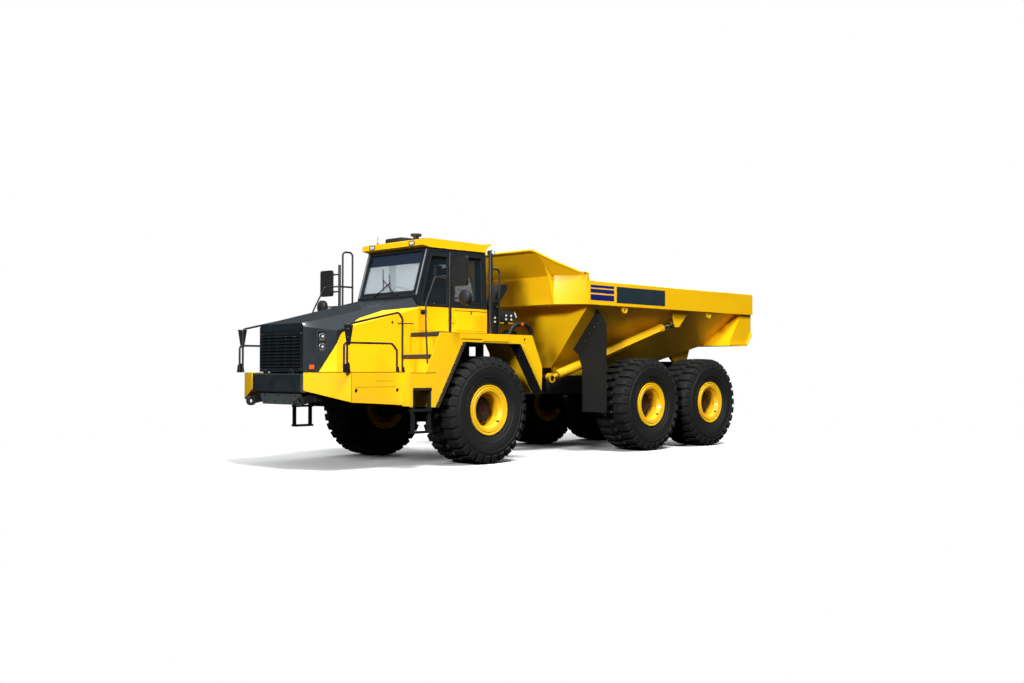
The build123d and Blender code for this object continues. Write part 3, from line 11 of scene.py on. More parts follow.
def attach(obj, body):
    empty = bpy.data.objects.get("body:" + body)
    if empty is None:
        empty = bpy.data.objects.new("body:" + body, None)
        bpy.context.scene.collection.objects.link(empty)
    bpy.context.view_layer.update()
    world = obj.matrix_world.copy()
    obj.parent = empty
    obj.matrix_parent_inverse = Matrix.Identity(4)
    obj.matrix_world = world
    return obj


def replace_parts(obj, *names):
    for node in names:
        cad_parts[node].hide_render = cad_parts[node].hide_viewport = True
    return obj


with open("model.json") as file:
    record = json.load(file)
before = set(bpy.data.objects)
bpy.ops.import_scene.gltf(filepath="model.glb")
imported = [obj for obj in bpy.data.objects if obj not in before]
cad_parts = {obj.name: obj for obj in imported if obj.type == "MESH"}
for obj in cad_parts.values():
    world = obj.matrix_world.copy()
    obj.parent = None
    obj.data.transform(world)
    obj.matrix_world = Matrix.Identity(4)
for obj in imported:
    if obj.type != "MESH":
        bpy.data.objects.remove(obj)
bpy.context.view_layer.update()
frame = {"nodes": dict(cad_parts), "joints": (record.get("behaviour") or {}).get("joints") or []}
joints = {joint["name"]: joint for joint in frame["joints"]}

# ---- places read from the frame, in metres ----
WHEELS = {name: Vector(joints[f"wheel_{name}_spin"]["pos_m"])
          for name in ("front_left", "front_right", "middle_left", "middle_right", "rear_left", "rear_right")}
AXLE = WHEELS["front_left"]          # the front axle's station, track and height


def place(ahead_mm, y_mm, z_mm):
    """A place by millimetres ahead of the front axle, to the truck's left, and above the ground."""
    return Vector((AXLE.x + ahead_mm / 1000, y_mm / 1000, z_mm / 1000))


SIDES = (1, -1)                      # left and right
OUT = {1: Vector((0, 1, 0)), -1: Vector((0, -1, 0))}
FORWARD, UP = (1, 0, 0), (0, 0, 1)
# upright planes along the truck, in millimetres from its middle
CAB_SIDE, CAB_SKIN = 799, 799.5      # just inside the cab's side walls, for seals and for panels
FAIRING, FENDER = 1460, 1636         # outer faces of the front fairings and fenders
RAIL = 1550.2                        # just outside the body's box rails, for films
DECK = 1505                          # top of the front platform
# the cab's front leans back by this much of its height, and faces this way
SCREEN_LEAN, SCREEN_OUT = 0.29268, (0.9597, 0, 0.2809)
# the hood's slanted front corner runs back and outwards, 37 degrees from the truck's length
MASK_COS, MASK_SIN = 0.7988, 0.6016


def screen(y, z, out):
    """A place on the cab's sloping front, this far out from it, in millimetres."""
    return place(800 - SCREEN_LEAN * (z - 2780) + SCREEN_OUT[0] * out, y, z + SCREEN_OUT[2] * out)


def mask(side, across, z, out):
    """A place on the hood's slanted front corner: along it from the grille, its height, and how far out."""
    return place(2905 - MASK_COS * across + MASK_SIN * out,
                 side * (600 + MASK_SIN * across + MASK_COS * out), z)


def rect(a0, a1, b0, b1):
    """The corners of a rectangle from its two ranges, as pairs."""
    return ((a0, b0), (a1, b0), (a1, b1), (a0, b1))


# ---- camera: low, off the front left corner ----
camera = bpy.data.objects.new("camera", bpy.data.cameras.new("camera"))
bpy.context.scene.collection.objects.link(camera)
camera.data.lens = 38.59
camera.data.sensor_width = 36
camera.data.clip_end = 200
camera.location = (AXLE.x + 12.588, 14.583, 1.529)
yaw, pitch = radians(44.526), radians(1.539)
aim = Vector((-cos(yaw) * cos(pitch), -sin(yaw) * cos(pitch), sin(pitch)))
camera.rotation_euler = aim.to_track_quat("-Z", "Y").to_euler()
bpy.context.scene.camera = camera
bpy.context.scene.view_settings.view_transform = "Standard"


# ---- materials ----
def linear(code):
    """An sRGB hex colour as linear RGBA."""
    channels = [int(code[i:i + 2], 16) / 255 for i in (1, 3, 5)]
    return [c / 12.92 if c <= 0.04045 else ((c + 0.055) / 1.055) ** 2.4 for c in channels] + [1.0]


def add_node(tree, kind, inputs=None, **settings):
    """Adds a shader node with its settings. An input is given a value or another node's output socket."""
    item = tree.nodes.new("ShaderNode" + kind)
    for key, value in settings.items():
        setattr(item, key, value)
    for key, value in (inputs or {}).items():
        if isinstance(value, bpy.types.NodeSocket):
            tree.links.new(value, item.inputs[key])
        else:
            item.inputs[key].default_value = value
    return item


def new_material(name):
    """An empty node material, its tree and its Object coordinates."""
    material = bpy.data.materials.new(name)
    material.use_nodes = True
    tree = material.node_tree
    tree.nodes.clear()
    coords = add_node(tree, "TexCoord").outputs["Object"]
    return material, tree, coords


def close_material(tree, shader):
    """Links a shader to the material's output."""
    output = tree.nodes.new("ShaderNodeOutputMaterial")
    tree.links.new(shader.outputs[0], output.inputs["Surface"])


def blotches(tree, coords, size_mm, low, high, detail=4.0):
    """Soft noise of this feature size, spread between two levels."""
    noise = add_node(tree, "TexNoise", {"Vector": coords, "Scale": 1000 / size_mm, "Detail": detail})
    spread = add_node(tree, "MapRange", {"Value": noise.outputs["Fac"], "From Min": 0.3, "From Max": 0.7,
                                         "To Min": low, "To Max": high})
    return spread.outputs["Result"]


def blend_colour(tree, factor, first, second):
    """Mix of two colours by a factor; each colour is a list or a socket."""
    mix = add_node(tree, "Mix", {"Factor": factor}, data_type="RGBA")
    for socket, value in ((mix.inputs[6], first), (mix.inputs[7], second)):
        if isinstance(value, bpy.types.NodeSocket):
            tree.links.new(value, socket)
        else:
            socket.default_value = value
    return mix.outputs[2]


def grain(tree, coords, size_mm, depth_mm):
    """Bump of this feature size and depth."""
    noise = add_node(tree, "TexNoise", {"Vector": coords, "Scale": 1000 / size_mm, "Detail": 3.0})
    bump = add_node(tree, "Bump", {"Height": noise.outputs["Fac"], "Distance": depth_mm / 1000,
                                   "Strength": 1.0})
    return bump.outputs["Normal"]


def gloss(tree, coords, colour, rough, coat):
    """The clear gloss of sprayed enamel, with slight orange peel."""
    return add_node(tree, "BsdfPrincipled", {
        "Base Color": colour, "Roughness": rough, "Coat Weight": coat, "Coat Roughness": 0.12,
        "Specular IOR Level": 0.3,
        # orange peel is about 1 mm across; drawn at 9 mm so that it shows
        "Normal": grain(tree, coords, 9, 0.05)})


def enamel(name, colour, shade, dust, rough=0.38, coat=0.2):
    """Sprayed polyurethane enamel on steel plate: even colour under a clear gloss, a little thinner and
    duller in places, and road dust in the lower parts."""
    material, tree, coords = new_material(name)
    height = add_node(tree, "SeparateXYZ", {"Vector": coords}).outputs["Z"]
    low = add_node(tree, "MapRange", {"Value": height, "From Min": 2.0, "From Max": 0.4, "To Min": 0.0,
                                      "To Max": 0.35})
    patches = blotches(tree, coords, 260, 0.0, 1.0)
    soiled = add_node(tree, "Math", {0: low.outputs["Result"], 1: patches}, operation="MULTIPLY").outputs[0]
    body = blend_colour(tree, blotches(tree, coords, 900, 0.0, 1.0, 2.0), linear(colour), linear(shade))
    coloured = blend_colour(tree, soiled, body, linear(dust))
    duller = add_node(tree, "MapRange", {"Value": patches, "To Min": rough - 0.05, "To Max": rough + 0.1})
    close_material(tree, gloss(tree, coords, coloured, duller.outputs["Result"], coat))
    return material


def two_tone(name, yellow, yellow_shade, slate, slate_shade, belt):
    """The cab's enamel: yellow below the belt line and slate above it, masked and sprayed in two passes."""
    material, tree, coords = new_material(name)
    height = add_node(tree, "SeparateXYZ", {"Vector": coords}).outputs["Z"]
    above = add_node(tree, "Math", {0: height, 1: belt}, operation="GREATER_THAN").outputs[0]
    shade = blotches(tree, coords, 900, 0.0, 1.0, 2.0)
    low = blend_colour(tree, shade, linear(yellow), linear(yellow_shade))
    high = blend_colour(tree, shade, linear(slate), linear(slate_shade))
    close_material(tree, gloss(tree, coords, blend_colour(tree, above, low, high), 0.33, 0.2))
    return material


def plain(name, colour, shade, rough, metallic=0.0, size_mm=120, bump_mm=0.0, bump_size=6, **sockets):
    """A finish of one colour that wanders slightly towards a second, with optional grain."""
    material, tree, coords = new_material(name)
    patches = blotches(tree, coords, size_mm, 0.0, 1.0)
    inputs = {"Base Color": blend_colour(tree, patches, linear(colour), linear(shade)), "Roughness": rough,
              "Metallic": metallic}
    if bump_mm:
        inputs["Normal"] = grain(tree, coords, bump_size, bump_mm)
    inputs.update({key.replace("_", " "): value for key, value in sockets.items()})
    close_material(tree, add_node(tree, "BsdfPrincipled", inputs))
    return material


MACHINE_YELLOW = "#FFC90E"
BELT = 2.60      # height of the cab's change of colour
# enamels: the colour, where it is thinner, and its road dust
YELLOW = enamel("yellow_machine_enamel", MACHINE_YELLOW, "#FCC108", "#A98A4C")
SLATE = enamel("slate_machine_enamel", "#1B242A", "#172026", "#4B4A44", 0.36, 0.3)
CHASSIS = enamel("chassis_enamel", "#1F2427", "#191D20", "#4A463E", 0.5, 0.1)
CAB_PAINT = two_tone("cab_two_tone_enamel", MACHINE_YELLOW, "#F6BE0A", "#20282E", "#1C2429", BELT)
# powder coat on tube: black, slightly pebbled, semi-matt
POWDER = plain("black_powder_coat", "#17191B", "#1D2022", 0.42, bump_mm=0.05, bump_size=4)
# carbon-black tyre compound: nearly black, matt, a little greyer where it has scuffed
TYRE = plain("tyre_rubber", "#080B09", "#0F130F", 0.66, size_mm=45, bump_mm=0.4, bump_size=14)
# EPDM sheet for flaps and arch strips: matt black with a slight brown bloom
SHEET_RUBBER = plain("epdm_sheet_rubber", "#070807", "#0E0F0E", 0.7, size_mm=180, bump_mm=0.2, bump_size=20)
# hydraulic hose cover: black synthetic rubber, wrapped, so finely ribbed
HOSE = plain("hose_cover_rubber", "#0B0C0C", "#141414", 0.55, size_mm=30, bump_mm=0.2, bump_size=5)
# textured polypropylene: dark grey, matt, fine grain from the mould
PLASTIC = plain("textured_polypropylene", "#191B1D", "#1F2224", 0.55, bump_mm=0.06, bump_size=3)
# polyester seat cloth over foam, charcoal, with a soft sheen
SEAT = plain("charcoal_seat_cloth", "#1D1F23", "#2A2D32", 0.9, size_mm=8, bump_mm=0.3, bump_size=3,
             Sheen_Weight=0.3)
# hard chrome on a ground steel rod: bright, near mirror
CHROME = plain("hard_chrome", "#C9CCCF", "#BFC3C6", 0.12, 1.0)
# turned carbon steel, oiled: grey, low gloss
STEEL = plain("oiled_steel", "#6D7072", "#585B5D", 0.4, 1.0)
# zinc-plated bolts: pale grey with faint streaks
ZINC = plain("zinc_plate", "#A9AEB0", "#8E9496", 0.35, 1.0, size_mm=12)
# wheel-hub castings painted black
HUB = plain("black_hub_casting", "#15191B", "#1E2224", 0.45, bump_mm=0.3, bump_size=10)
# reflective vinyl film, navy
NAVY = plain("navy_vinyl_film", "#1C1F74", "#191B66", 0.35, size_mm=400)
# vinyl film, slate
FILM = plain("slate_vinyl_film", "#27353C", "#223037", 0.38, size_mm=400)
# silver-coated lamp bowl
REFLECTOR = plain("lamp_reflector", "#D8DCDE", "#C4C9CC", 0.18, 0.9)
# clear polycarbonate lens drawn opaque pale grey-white: painted reflection of the silvered bowl behind it
LENS_PAINTED_REFLECTION = plain("lamp_lens_painted_reflection", "#EFF3F4", "#DDE3E5", 0.1, Coat_Weight=1.0)
# amber acrylic lens
AMBER = plain("amber_acrylic_lens", "#F2641A", "#E2500F", 0.15, Coat_Weight=0.8)
# red acrylic lens
RED = plain("red_acrylic_lens", "#B3121A", "#99101A", 0.15, Coat_Weight=0.8)
# shaded top band of the windscreen
TINT = plain("dark_glass_band", "#1C2B42", "#1A2739", 0.12)
# pale grey satin strips on the pillars, drawn as anodised aluminium: painted highlight along the pillars'
# edges
PILLAR_HIGHLIGHT = plain("pillar_painted_highlight", "#C4C9CC", "#B6BCC0", 0.3, 0.6)
# silvered glass, seen only as a reflection
MIRROR = plain("silvered_glass", "#D5DADC", "#CDD3D6", 0.04, 1.0)
# painted steel grating, worn to a dark grey on its teeth
GRATING = plain("steel_tread_grating", "#2A2D2E", "#3A3C3B", 0.6, 0.3, size_mm=20)
# grey primer-like enamel under the bumper
BELLY = plain("grey_chassis_enamel", "#434A49", "#3A4140", 0.5, size_mm=300)
# satin black enamel on thin steel blades, bright where light catches their edges
LOUVRE = plain("satin_black_enamel", "#262D30", "#2D3538", 0.24, 0.5, Coat_Weight=0.6)
# painted shade: near-black for the shadow in gaps between panels, in recesses and behind the grille
PAINTED_SHADE = plain("painted_shade_black", "#0A0B0B", "#0C0D0D", 0.9)


def safety_glass():
    """Laminated safety glass, all see-through: side and back panes tinted dark; the front screen's pale
    colour is painted light, standing for the bright backdrop seen through it.
    """
    material, tree, coords = new_material("tinted_glass_with_painted_light")
    normal = add_node(tree, "TexCoord").outputs["Normal"]
    facing = add_node(tree, "SeparateXYZ", {"Vector": normal}).outputs["X"]
    forward = add_node(tree, "Math", {0: facing, 1: 0.5}, operation="GREATER_THAN").outputs[0]
    sides = blend_colour(tree, blotches(tree, coords, 900, 0.0, 1.0), linear("#1D282E"), linear("#222E34"))
    # pale on forward-facing panes: painted light of the backdrop seen through the screen
    tint_and_painted_light = blend_colour(tree, forward, sides, linear("#B4C2C9"))
    shader = add_node(tree, "BsdfPrincipled", {"Base Color": tint_and_painted_light, "Roughness": 0.04, "Alpha": 0.4})
    close_material(tree, shader)
    return material


GLASS = safety_glass()

FINISHES = (
    (CHASSIS, "front_frame front_axle front_suspension engine hitch rear_frame middle_axle rear_axle "
              "equalizer_beams"),
    (YELLOW, "side_skirts fenders cab_roof hood_sides dump_body"), (SLATE, "bumper rear_deck hood_top"),
    (CAB_PAINT, "cab_shell cab_door"), (GLASS, "cab_glass door_glass"), (STEEL, "bogie_shaft"),
    (SHEET_RUBBER, "fender_flaps mud_flaps"), (POWDER, "ladders handrails exhaust grille"),
    (PLASTIC, "radiator mirrors roof_unit dashboard steering_wheel headlamps"), (LENS_PAINTED_REFLECTION, "work_lamps"),
    (AMBER, "signal_lamps"), (SEAT, "operator_seat"), (HOSE, "hoses"))
FINISH_OF = {name: finish for finish, names in FINISHES for name in names.split()}
# what the repeated nodes have in their names
FINISH_OF_KIND = {"barrel": YELLOW, "rod": CHROME, "rim": YELLOW, "tyre": TYRE}
for name, node in frame["nodes"].items():
    kind = next((word for word in name.split("_") if word in FINISH_OF_KIND), None)
    node.data.materials.clear()
    node.data.materials.append(FINISH_OF.get(name) or FINISH_OF_KIND[kind])


# ---- making pieces ----
def piece(bm, name, material, body="front_unit", sharp=35):
    """Turns a bmesh in place into an object that rides on a body."""
    bmesh.ops.remove_doubles(bm, verts=bm.verts, dist=1e-6)
    bmesh.ops.recalc_face_normals(bm, faces=bm.faces)
    mesh = bpy.data.meshes.new(name)
    bm.to_mesh(mesh)
    bm.free()
    mesh.shade_smooth()
    mesh.set_sharp_from_angle(angle=radians(sharp))
    thing = bpy.data.objects.new(name, mesh)
    bpy.context.scene.collection.objects.link(thing)
    mesh.materials.append(material)
    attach(thing, body)
    return thing


def soften(bm, edges, bevel):
    """Rounds edges over this width."""
    bmesh.ops.bevel(bm, geom=edges, offset=bevel, offset_type="OFFSET", segments=2, profile=0.5,
                    affect="EDGES", material=-1)


def add_box(bm, low, high, bevel=0.0):
    """A box between two corners, with rounded edges."""
    low, high = Vector(low), Vector(high)
    matrix = Matrix.Translation((low + high) / 2) @ Matrix.Diagonal((*(high - low), 1))
    made = bmesh.ops.create_cube(bm, size=1, matrix=matrix)["verts"]
    if bevel:
        soften(bm, list(dict.fromkeys(edge for vert in made for edge in vert.link_edges)), bevel)


def add_disc(bm, centre, axis, radius, depth, segments=24, bevel=0.0):
    """A round boss centred here, its length along the axis, with rounded rims."""
    turn = Vector(axis).to_track_quat("Z", "Y").to_matrix().to_4x4()
    made = bmesh.ops.create_cone(bm, cap_ends=True, segments=segments, radius1=radius, radius2=radius,
                                 depth=depth, matrix=Matrix.Translation(centre) @ turn)["verts"]
    if bevel:
        soften(bm, [edge for edge in dict.fromkeys(e for v in made for e in v.link_edges)
                    if any(len(face.verts) > 4 for face in edge.link_faces)], bevel)


def add_turned(bm, centre, axis, outline, steps=64):
    """A shape turned about an axis from (distance along the axis, radius) points."""
    axis = Vector(axis)
    out = axis.orthogonal().normalized()
    verts = [bm.verts.new(Vector(centre) + axis * along + out * radius) for along, radius in outline]
    edges = [bm.edges.new(pair) for pair in zip(verts, verts[1:])]
    bmesh.ops.spin(bm, geom=verts + edges, cent=centre, axis=axis, angle=tau, steps=steps, use_merge=True)


def thicken(bm, faces, depth):
    """Extrudes flat faces by this vector."""
    moved = bmesh.ops.extrude_face_region(bm, geom=faces)["geom"]
    bmesh.ops.translate(bm, verts=[item for item in moved if isinstance(item, bmesh.types.BMVert)], vec=depth)


def add_plate(bm, corners, depth):
    """A flat plate with these corners, thickened by this vector."""
    thicken(bm, [bm.faces.new([bm.verts.new(corner) for corner in corners])], depth)


def add_bolts(bm, places, axis, size=0.02):
    """Hexagon heads on washers."""
    axis = Vector(axis)
    for spot in map(Vector, places):
        add_disc(bm, spot + axis * size * 0.12, axis, size * 0.85, size * 0.24, 12)
        add_disc(bm, spot + axis * size * 0.45, axis, size * 0.6, size * 0.6, 6)


def merge(bm, part):
    """Adds one bmesh to another and frees it."""
    mesh = bpy.data.meshes.new("part")
    part.to_mesh(mesh)
    part.free()
    bm.from_mesh(mesh)
    bpy.data.meshes.remove(mesh)


def flat(corners, radius):
    """A bmesh with one flat face whose corners are rounded, and that face."""
    part = bmesh.new()
    part.faces.new([part.verts.new(corner) for corner in corners])
    if radius:
        bmesh.ops.bevel(part, geom=part.verts[:], offset=radius, offset_type="OFFSET", segments=5,
                        profile=0.5, affect="VERTICES", material=-1)
    part.faces.ensure_lookup_table()
    return part, part.faces[0]


def add_panel(bm, corners, depth, radius=0.0):
    """A flat panel with rounded corners, thickened by this vector."""
    part, face = flat(corners, radius)
    thicken(part, [face], depth)
    merge(bm, part)


def add_frame(bm, corners, width, depth, radius=0.0):
    """A flat border inside these corners, thickened by this vector."""
    part, face = flat(corners, radius)
    ring = bmesh.ops.inset_region(part, faces=[face], thickness=width, use_even_offset=True,
                                  use_boundary=True)["faces"]
    bmesh.ops.delete(part, geom=[face], context="FACES_ONLY")
    thicken(part, ring, depth)
    merge(bm, part)


def add_wall_panel(bm, side, points, y, thick, radius=0.0):
    """A panel on an upright plane at this distance from the middle, from (ahead, height) points."""
    add_panel(bm, [place(a, side * y, z) for a, z in points], OUT[side] * thick, radius)


def add_wall_frame(bm, side, points, width):
    """A window seal on the cab's side wall, from (ahead, height) points."""
    add_frame(bm, [place(a, side * CAB_SIDE, z) for a, z in points], width, OUT[side] * 0.008, 0.04)


def rounded(points, bend, steps=5):
    """A path through these points, its inner corners rounded over this length."""
    points = [Vector(point) for point in points]
    path = [points[0]]
    for before, corner, after in zip(points, points[1:], points[2:]):
        start = corner + (before - corner).normalized() * min(bend, 0.48 * (corner - before).length)
        end = corner + (after - corner).normalized() * min(bend, 0.48 * (after - corner).length)
        path += [start.lerp(corner, i / steps).lerp(corner.lerp(end, i / steps), i / steps)
                 for i in range(steps + 1)]
    return path + [points[-1]]


def add_tube(bm, points, radius, bend=0.05, kind="POLY"):
    """A round tube along a path, its ends closed: bent steel with rounded corners, or a smooth hose where
    kind is NURBS and the points are its control points."""
    curve = bpy.data.curves.new("path", "CURVE")
    curve.dimensions = "3D"
    curve.bevel_depth = radius
    curve.bevel_resolution = 3
    curve.resolution_u = 10
    curve.use_fill_caps = True
    path = rounded(points, bend) if kind == "POLY" else points
    line = curve.splines.new(kind)
    line.points.add(len(path) - 1)
    for point, where in zip(line.points, path):
        point.co = (*where, 1)
    if kind == "NURBS":
        line.order_u = 3
        line.use_endpoint_u = True
    holder = bpy.data.objects.new("path", curve)
    mesh = bpy.data.meshes.new_from_object(holder)
    bm.from_mesh(mesh)
    bpy.data.objects.remove(holder)
    bpy.data.curves.remove(curve)
    bpy.data.meshes.remove(mesh)


def add_hose(bm, points, radius):
    """A smooth hose whose control points are given in millimetres."""
    add_tube(bm, [place(*point) for point in points], radius, kind="NURBS")


def cut_copy(name, cuts):
    """A bmesh of a CAD node's shape, cut by planes: each has a place on it and points at what is cut off."""
    thing = frame["nodes"][name]
    bm = bmesh.new()
    bm.from_mesh(thing.data)
    bm.transform(thing.matrix_world)
    for spot, way in cuts:
        made = bmesh.ops.bisect_plane(bm, geom=bm.verts[:] + bm.edges[:] + bm.faces[:], plane_co=spot,
                                      plane_no=way, clear_outer=True)["geom_cut"]
        bmesh.ops.triangle_fill(bm, edges=[item for item in made if isinstance(item, bmesh.types.BMEdge)],
                                use_dissolve=True)
    return bm


# ---- tyres ----
TYRE_OUT = 0.890
GROOVE_FLOOR = 0.846
LUGS = 30
PITCH = tau / LUGS
# half of the carcass: distance from the wheel's middle plane, radius
CARCASS = [(0.0, GROOVE_FLOOR), (0.18, GROOVE_FLOOR - 0.001), (0.292, GROOVE_FLOOR - 0.006), (0.330, 0.826),
           (0.352, 0.790), (0.368, 0.735), (0.3745, 0.66), (0.368, 0.58), (0.352, 0.515), (0.337, 0.47),
           (0.331, 0.452), (0.334, 0.444), (0.330, 0.430), (0.3165, 0.419), (0.3165, 0.320), (0.255, 0.320)]
# tread blocks: angle share of one pitch and distance from the middle plane, as corners of the top face
SHOULDER_LUG = [(0.10, 0.335), (0.14, 0.215), (0.30, 0.110), (0.66, 0.085), (0.74, 0.150), (0.72, 0.335)]
CENTRE_LUG = [(0.00, 0.040), (0.22, 0.075), (0.52, 0.045), (0.60, -0.040), (0.38, -0.075), (0.08, -0.045)]
# buttress that carries a block down over the shoulder: angle share, distance from the middle plane, radius
BUTTRESS = ((0.08, 0.343, 0.868), (0.74, 0.343, 0.868), (0.70, 0.374, 0.765), (0.14, 0.374, 0.765))
# raised rings on the side wall: radius, distance from the middle plane
SIDE_RINGS = ((0.70, 0.3735), (0.545, 0.3605), (0.488, 0.3435))
# degrees that each wheel is turned by, so that no two tyres stand at the same angle
STANCE = {"front": 3, "middle": 7, "rear": 1}
RIGHT_STANCE = 5
RIM_BOLTS = 20


def on_tyre(share, across, radius):
    """A place on a tyre centred on the origin, its axle along Y; share counts tread pitches from the top."""
    angle = share * PITCH
    return Vector((radius * sin(angle), across, radius * cos(angle)))


def add_lug(bm, corners, side, shift, foot):
    """One tread block on the top of the wheel, its sides spreading to its foot, its top edges rounded."""
    middle = sum(width for _, width in corners) / len(corners)
    top = [bm.verts.new(on_tyre(share + shift, side * width, TYRE_OUT - (0.012 if width > 0.3 else 0.0)))
           for share, width in corners]
    base = [bm.verts.new(on_tyre(share + (0.03 if share > 0.4 else -0.03) + shift,
                                 side * (width + (0.010 if width > middle else -0.010)), foot(width)))
            for share, width in corners]
    face = bm.faces.new(top)
    for i in range(len(top)):
        j = (i + 1) % len(top)
        bm.faces.new((top[i], top[j], base[j], base[i]))
    soften(bm, list(face.edges), 0.006)


def tread_mesh():
    """Tyre centred on the origin, its axle along Y: carcass, tread blocks, buttresses and side rings."""
    bm = bmesh.new()
    outline = [(-width, radius) for width, radius in reversed(CARCASS)] + CARCASS[1:]
    add_turned(bm, (0, 0, 0), (0, 1, 0), outline, 90)
    bmesh.ops.recalc_face_normals(bm, faces=bm.faces)
    lugs = bmesh.new()
    floor = GROOVE_FLOOR - 0.012
    for side in SIDES:
        # the two shoulders are staggered by half a pitch
        shift = 0.0 if side > 0 else 0.5
        add_lug(lugs, SHOULDER_LUG, side, shift, lambda width: 0.805 if width > 0.3 else floor)
        add_plate(lugs, [on_tyre(share + shift, side * width, radius) for share, width, radius in BUTTRESS],
                  Vector((0, -side * 0.035, -0.030)))
    add_lug(lugs, CENTRE_LUG, 1, 0.55, lambda width: floor)
    bmesh.ops.spin(lugs, geom=lugs.verts[:] + lugs.edges[:] + lugs.faces[:], cent=(0, 0, 0), axis=(0, 1, 0),
                   angle=tau * (LUGS - 1) / LUGS, steps=LUGS - 1, use_duplicate=True)
    bmesh.ops.recalc_face_normals(lugs, faces=lugs.faces)
    merge(bm, lugs)
    for side in SIDES:
        for radius, width in SIDE_RINGS:
            add_turned(bm, (0, 0, 0), (0, side, 0),
                       [(width - 0.006, radius - 0.010), (width + 0.004, radius - 0.004),
                        (width + 0.004, radius + 0.004), (width - 0.006, radius + 0.010)], 72)
    return bm


def hub_pieces(name, centre, side):
    """Black planetary hub over the rim's hub, its bolts and plugs, the tyre valve and the rim's lock ring."""
    body = "wheel_" + name
    out = OUT[side]
    bm = bmesh.new()
    add_turned(bm, centre, out, [(-0.06, 0.221), (0.117, 0.221), (0.138, 0.207), (0.138, 0.175),
                                 (0.146, 0.168), (0.164, 0.158), (0.166, 0.10), (0.176, 0.092),
                                 (0.178, 0.0)], 48)
    for angle in (tau * i / RIM_BOLTS for i in range(RIM_BOLTS)):
        add_bolts(bm, [centre + Vector((cos(angle) * 0.191, side * 0.138, sin(angle) * 0.191))], out, 0.017)
    piece(bm, "hub_" + name, HUB, body)
    bm = bmesh.new()
    for angle in (0.4, 2.5, 4.6):
        spot = centre + Vector((cos(angle) * 0.055, side * 0.182, sin(angle) * 0.055))
        add_disc(bm, spot, out, 0.014, 0.012, 12)
    piece(bm, "hub_plugs_" + name, RED, body)
    bm = bmesh.new()
    # valve stem and its cap, at the lower rear of the rim's cone
    foot = centre + Vector((-0.21, side * 0.255, -0.19))
    add_disc(bm, foot + out * 0.03, out, 0.011, 0.07, 10)
    add_disc(bm, foot + out * 0.07, out, 0.015, 0.02, 10)
    piece(bm, "valve_" + name, ZINC, body)
    bm = bmesh.new()
    # lock ring in the groove of the flange
    add_turned(bm, centre, out, [(0.331, 0.371), (0.340, 0.368), (0.346, 0.360), (0.343, 0.353),
                                 (0.334, 0.350)], 64)
    piece(bm, "lock_ring_" + name, YELLOW, body)


def wheel_pieces(name, centre):
    """A treaded tyre that stands for the plain one, and what sits on its hub."""
    side = 1 if centre.y > 0 else -1
    bm = tread_mesh()
    turn = radians(STANCE[name.split("_")[0]] + (RIGHT_STANCE if side < 0 else 0))
    bmesh.ops.transform(bm, matrix=Matrix.Translation(centre) @ Matrix.Rotation(turn, 4, "Y"), verts=bm.verts)
    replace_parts(piece(bm, "tread_tyre_" + name, TYRE, "wheel_" + name, sharp=30), "tyre_" + name)
    hub_pieces(name, centre, side)


# ---- cab: seals, screen band, wipers, visor lamps, door furniture, side panels, roof ----
def cab_front():
    """Seals of the front and rear panes, a painted shadow below the visor, the screen's tinted band, pale
    pillar strips of painted highlight, wipers and the visor's lamps.
    """
    slope = Vector(SCREEN_OUT)
    bm = bmesh.new()
    add_frame(bm, [screen(y, z, -2) for y, z in rect(-708, 708, 2836, 3564)], 0.030, slope * 0.009, 0.05)
    add_frame(bm, [place(-786 + 0.04 * (z - 2740), y, z) for y, z in rect(-578, 578, 2742, 3498)], 0.030,
              Vector((-0.012, 0, 0)), 0.04)
    # painted shadow: a black strip just below the visor, where its shadow falls on the screen
    add_panel(bm, [screen(y, z, 0.5) for y, z in rect(-790, 790, 3566, 3596)], slope * 0.004)
    piece(bm, "screen_seals_and_visor_shadow", SHEET_RUBBER)
    bm = bmesh.new()
    add_panel(bm, [screen(y, z, -22.4) for y, z in rect(-684, 684, 3345, 3545)], slope * 0.0015)
    piece(bm, "screen_tint_band", TINT)
    bm = bmesh.new()
    # pale strips along both pillars: painted highlight
    for side in SIDES:
        add_panel(bm, [screen(side * y, z, 0.5) for y, z in rect(752, 778, 2795, 3590)], slope * 0.004)
    piece(bm, "pillar_painted_highlights", PILLAR_HIGHLIGHT)
    bm = bmesh.new()
    # two wipers: the foot's place across, and the blade's lower end and heights
    for y, tip, low, high in ((260, -150, 2905, 3290), (-330, 60, 2880, 3180)):
        add_disc(bm, screen(y, 2815, 8), slope, 0.026, 0.03, 16, 0.004)
        add_tube(bm, [screen(y, 2815, 18), screen(y * 0.7 + tip * 0.3, 2870, 16),
                      screen(tip - 75, (low + high) / 2, -5)], 0.009)
        add_tube(bm, [screen(tip, low, -13), screen(tip - 150, high, -13)], 0.007)
    piece(bm, "wipers", POWDER)
    bezel, lens = bmesh.new(), bmesh.new()
    for y in (-530, 530):
        add_frame(bezel, [place(693, y + dy, z) for dy, z in rect(-70, 70, 3634, 3709)], 0.010,
                  Vector((0.010, 0, 0)), 0.012)
        for dy in (-28, 28):
            add_disc(lens, place(696, y + dy, 3672), FORWARD, 0.024, 0.008, 20, 0.002)
    piece(bezel, "visor_lamp_bezels", PLASTIC)
    piece(lens, "visor_lamp_lenses", LENS_PAINTED_REFLECTION)


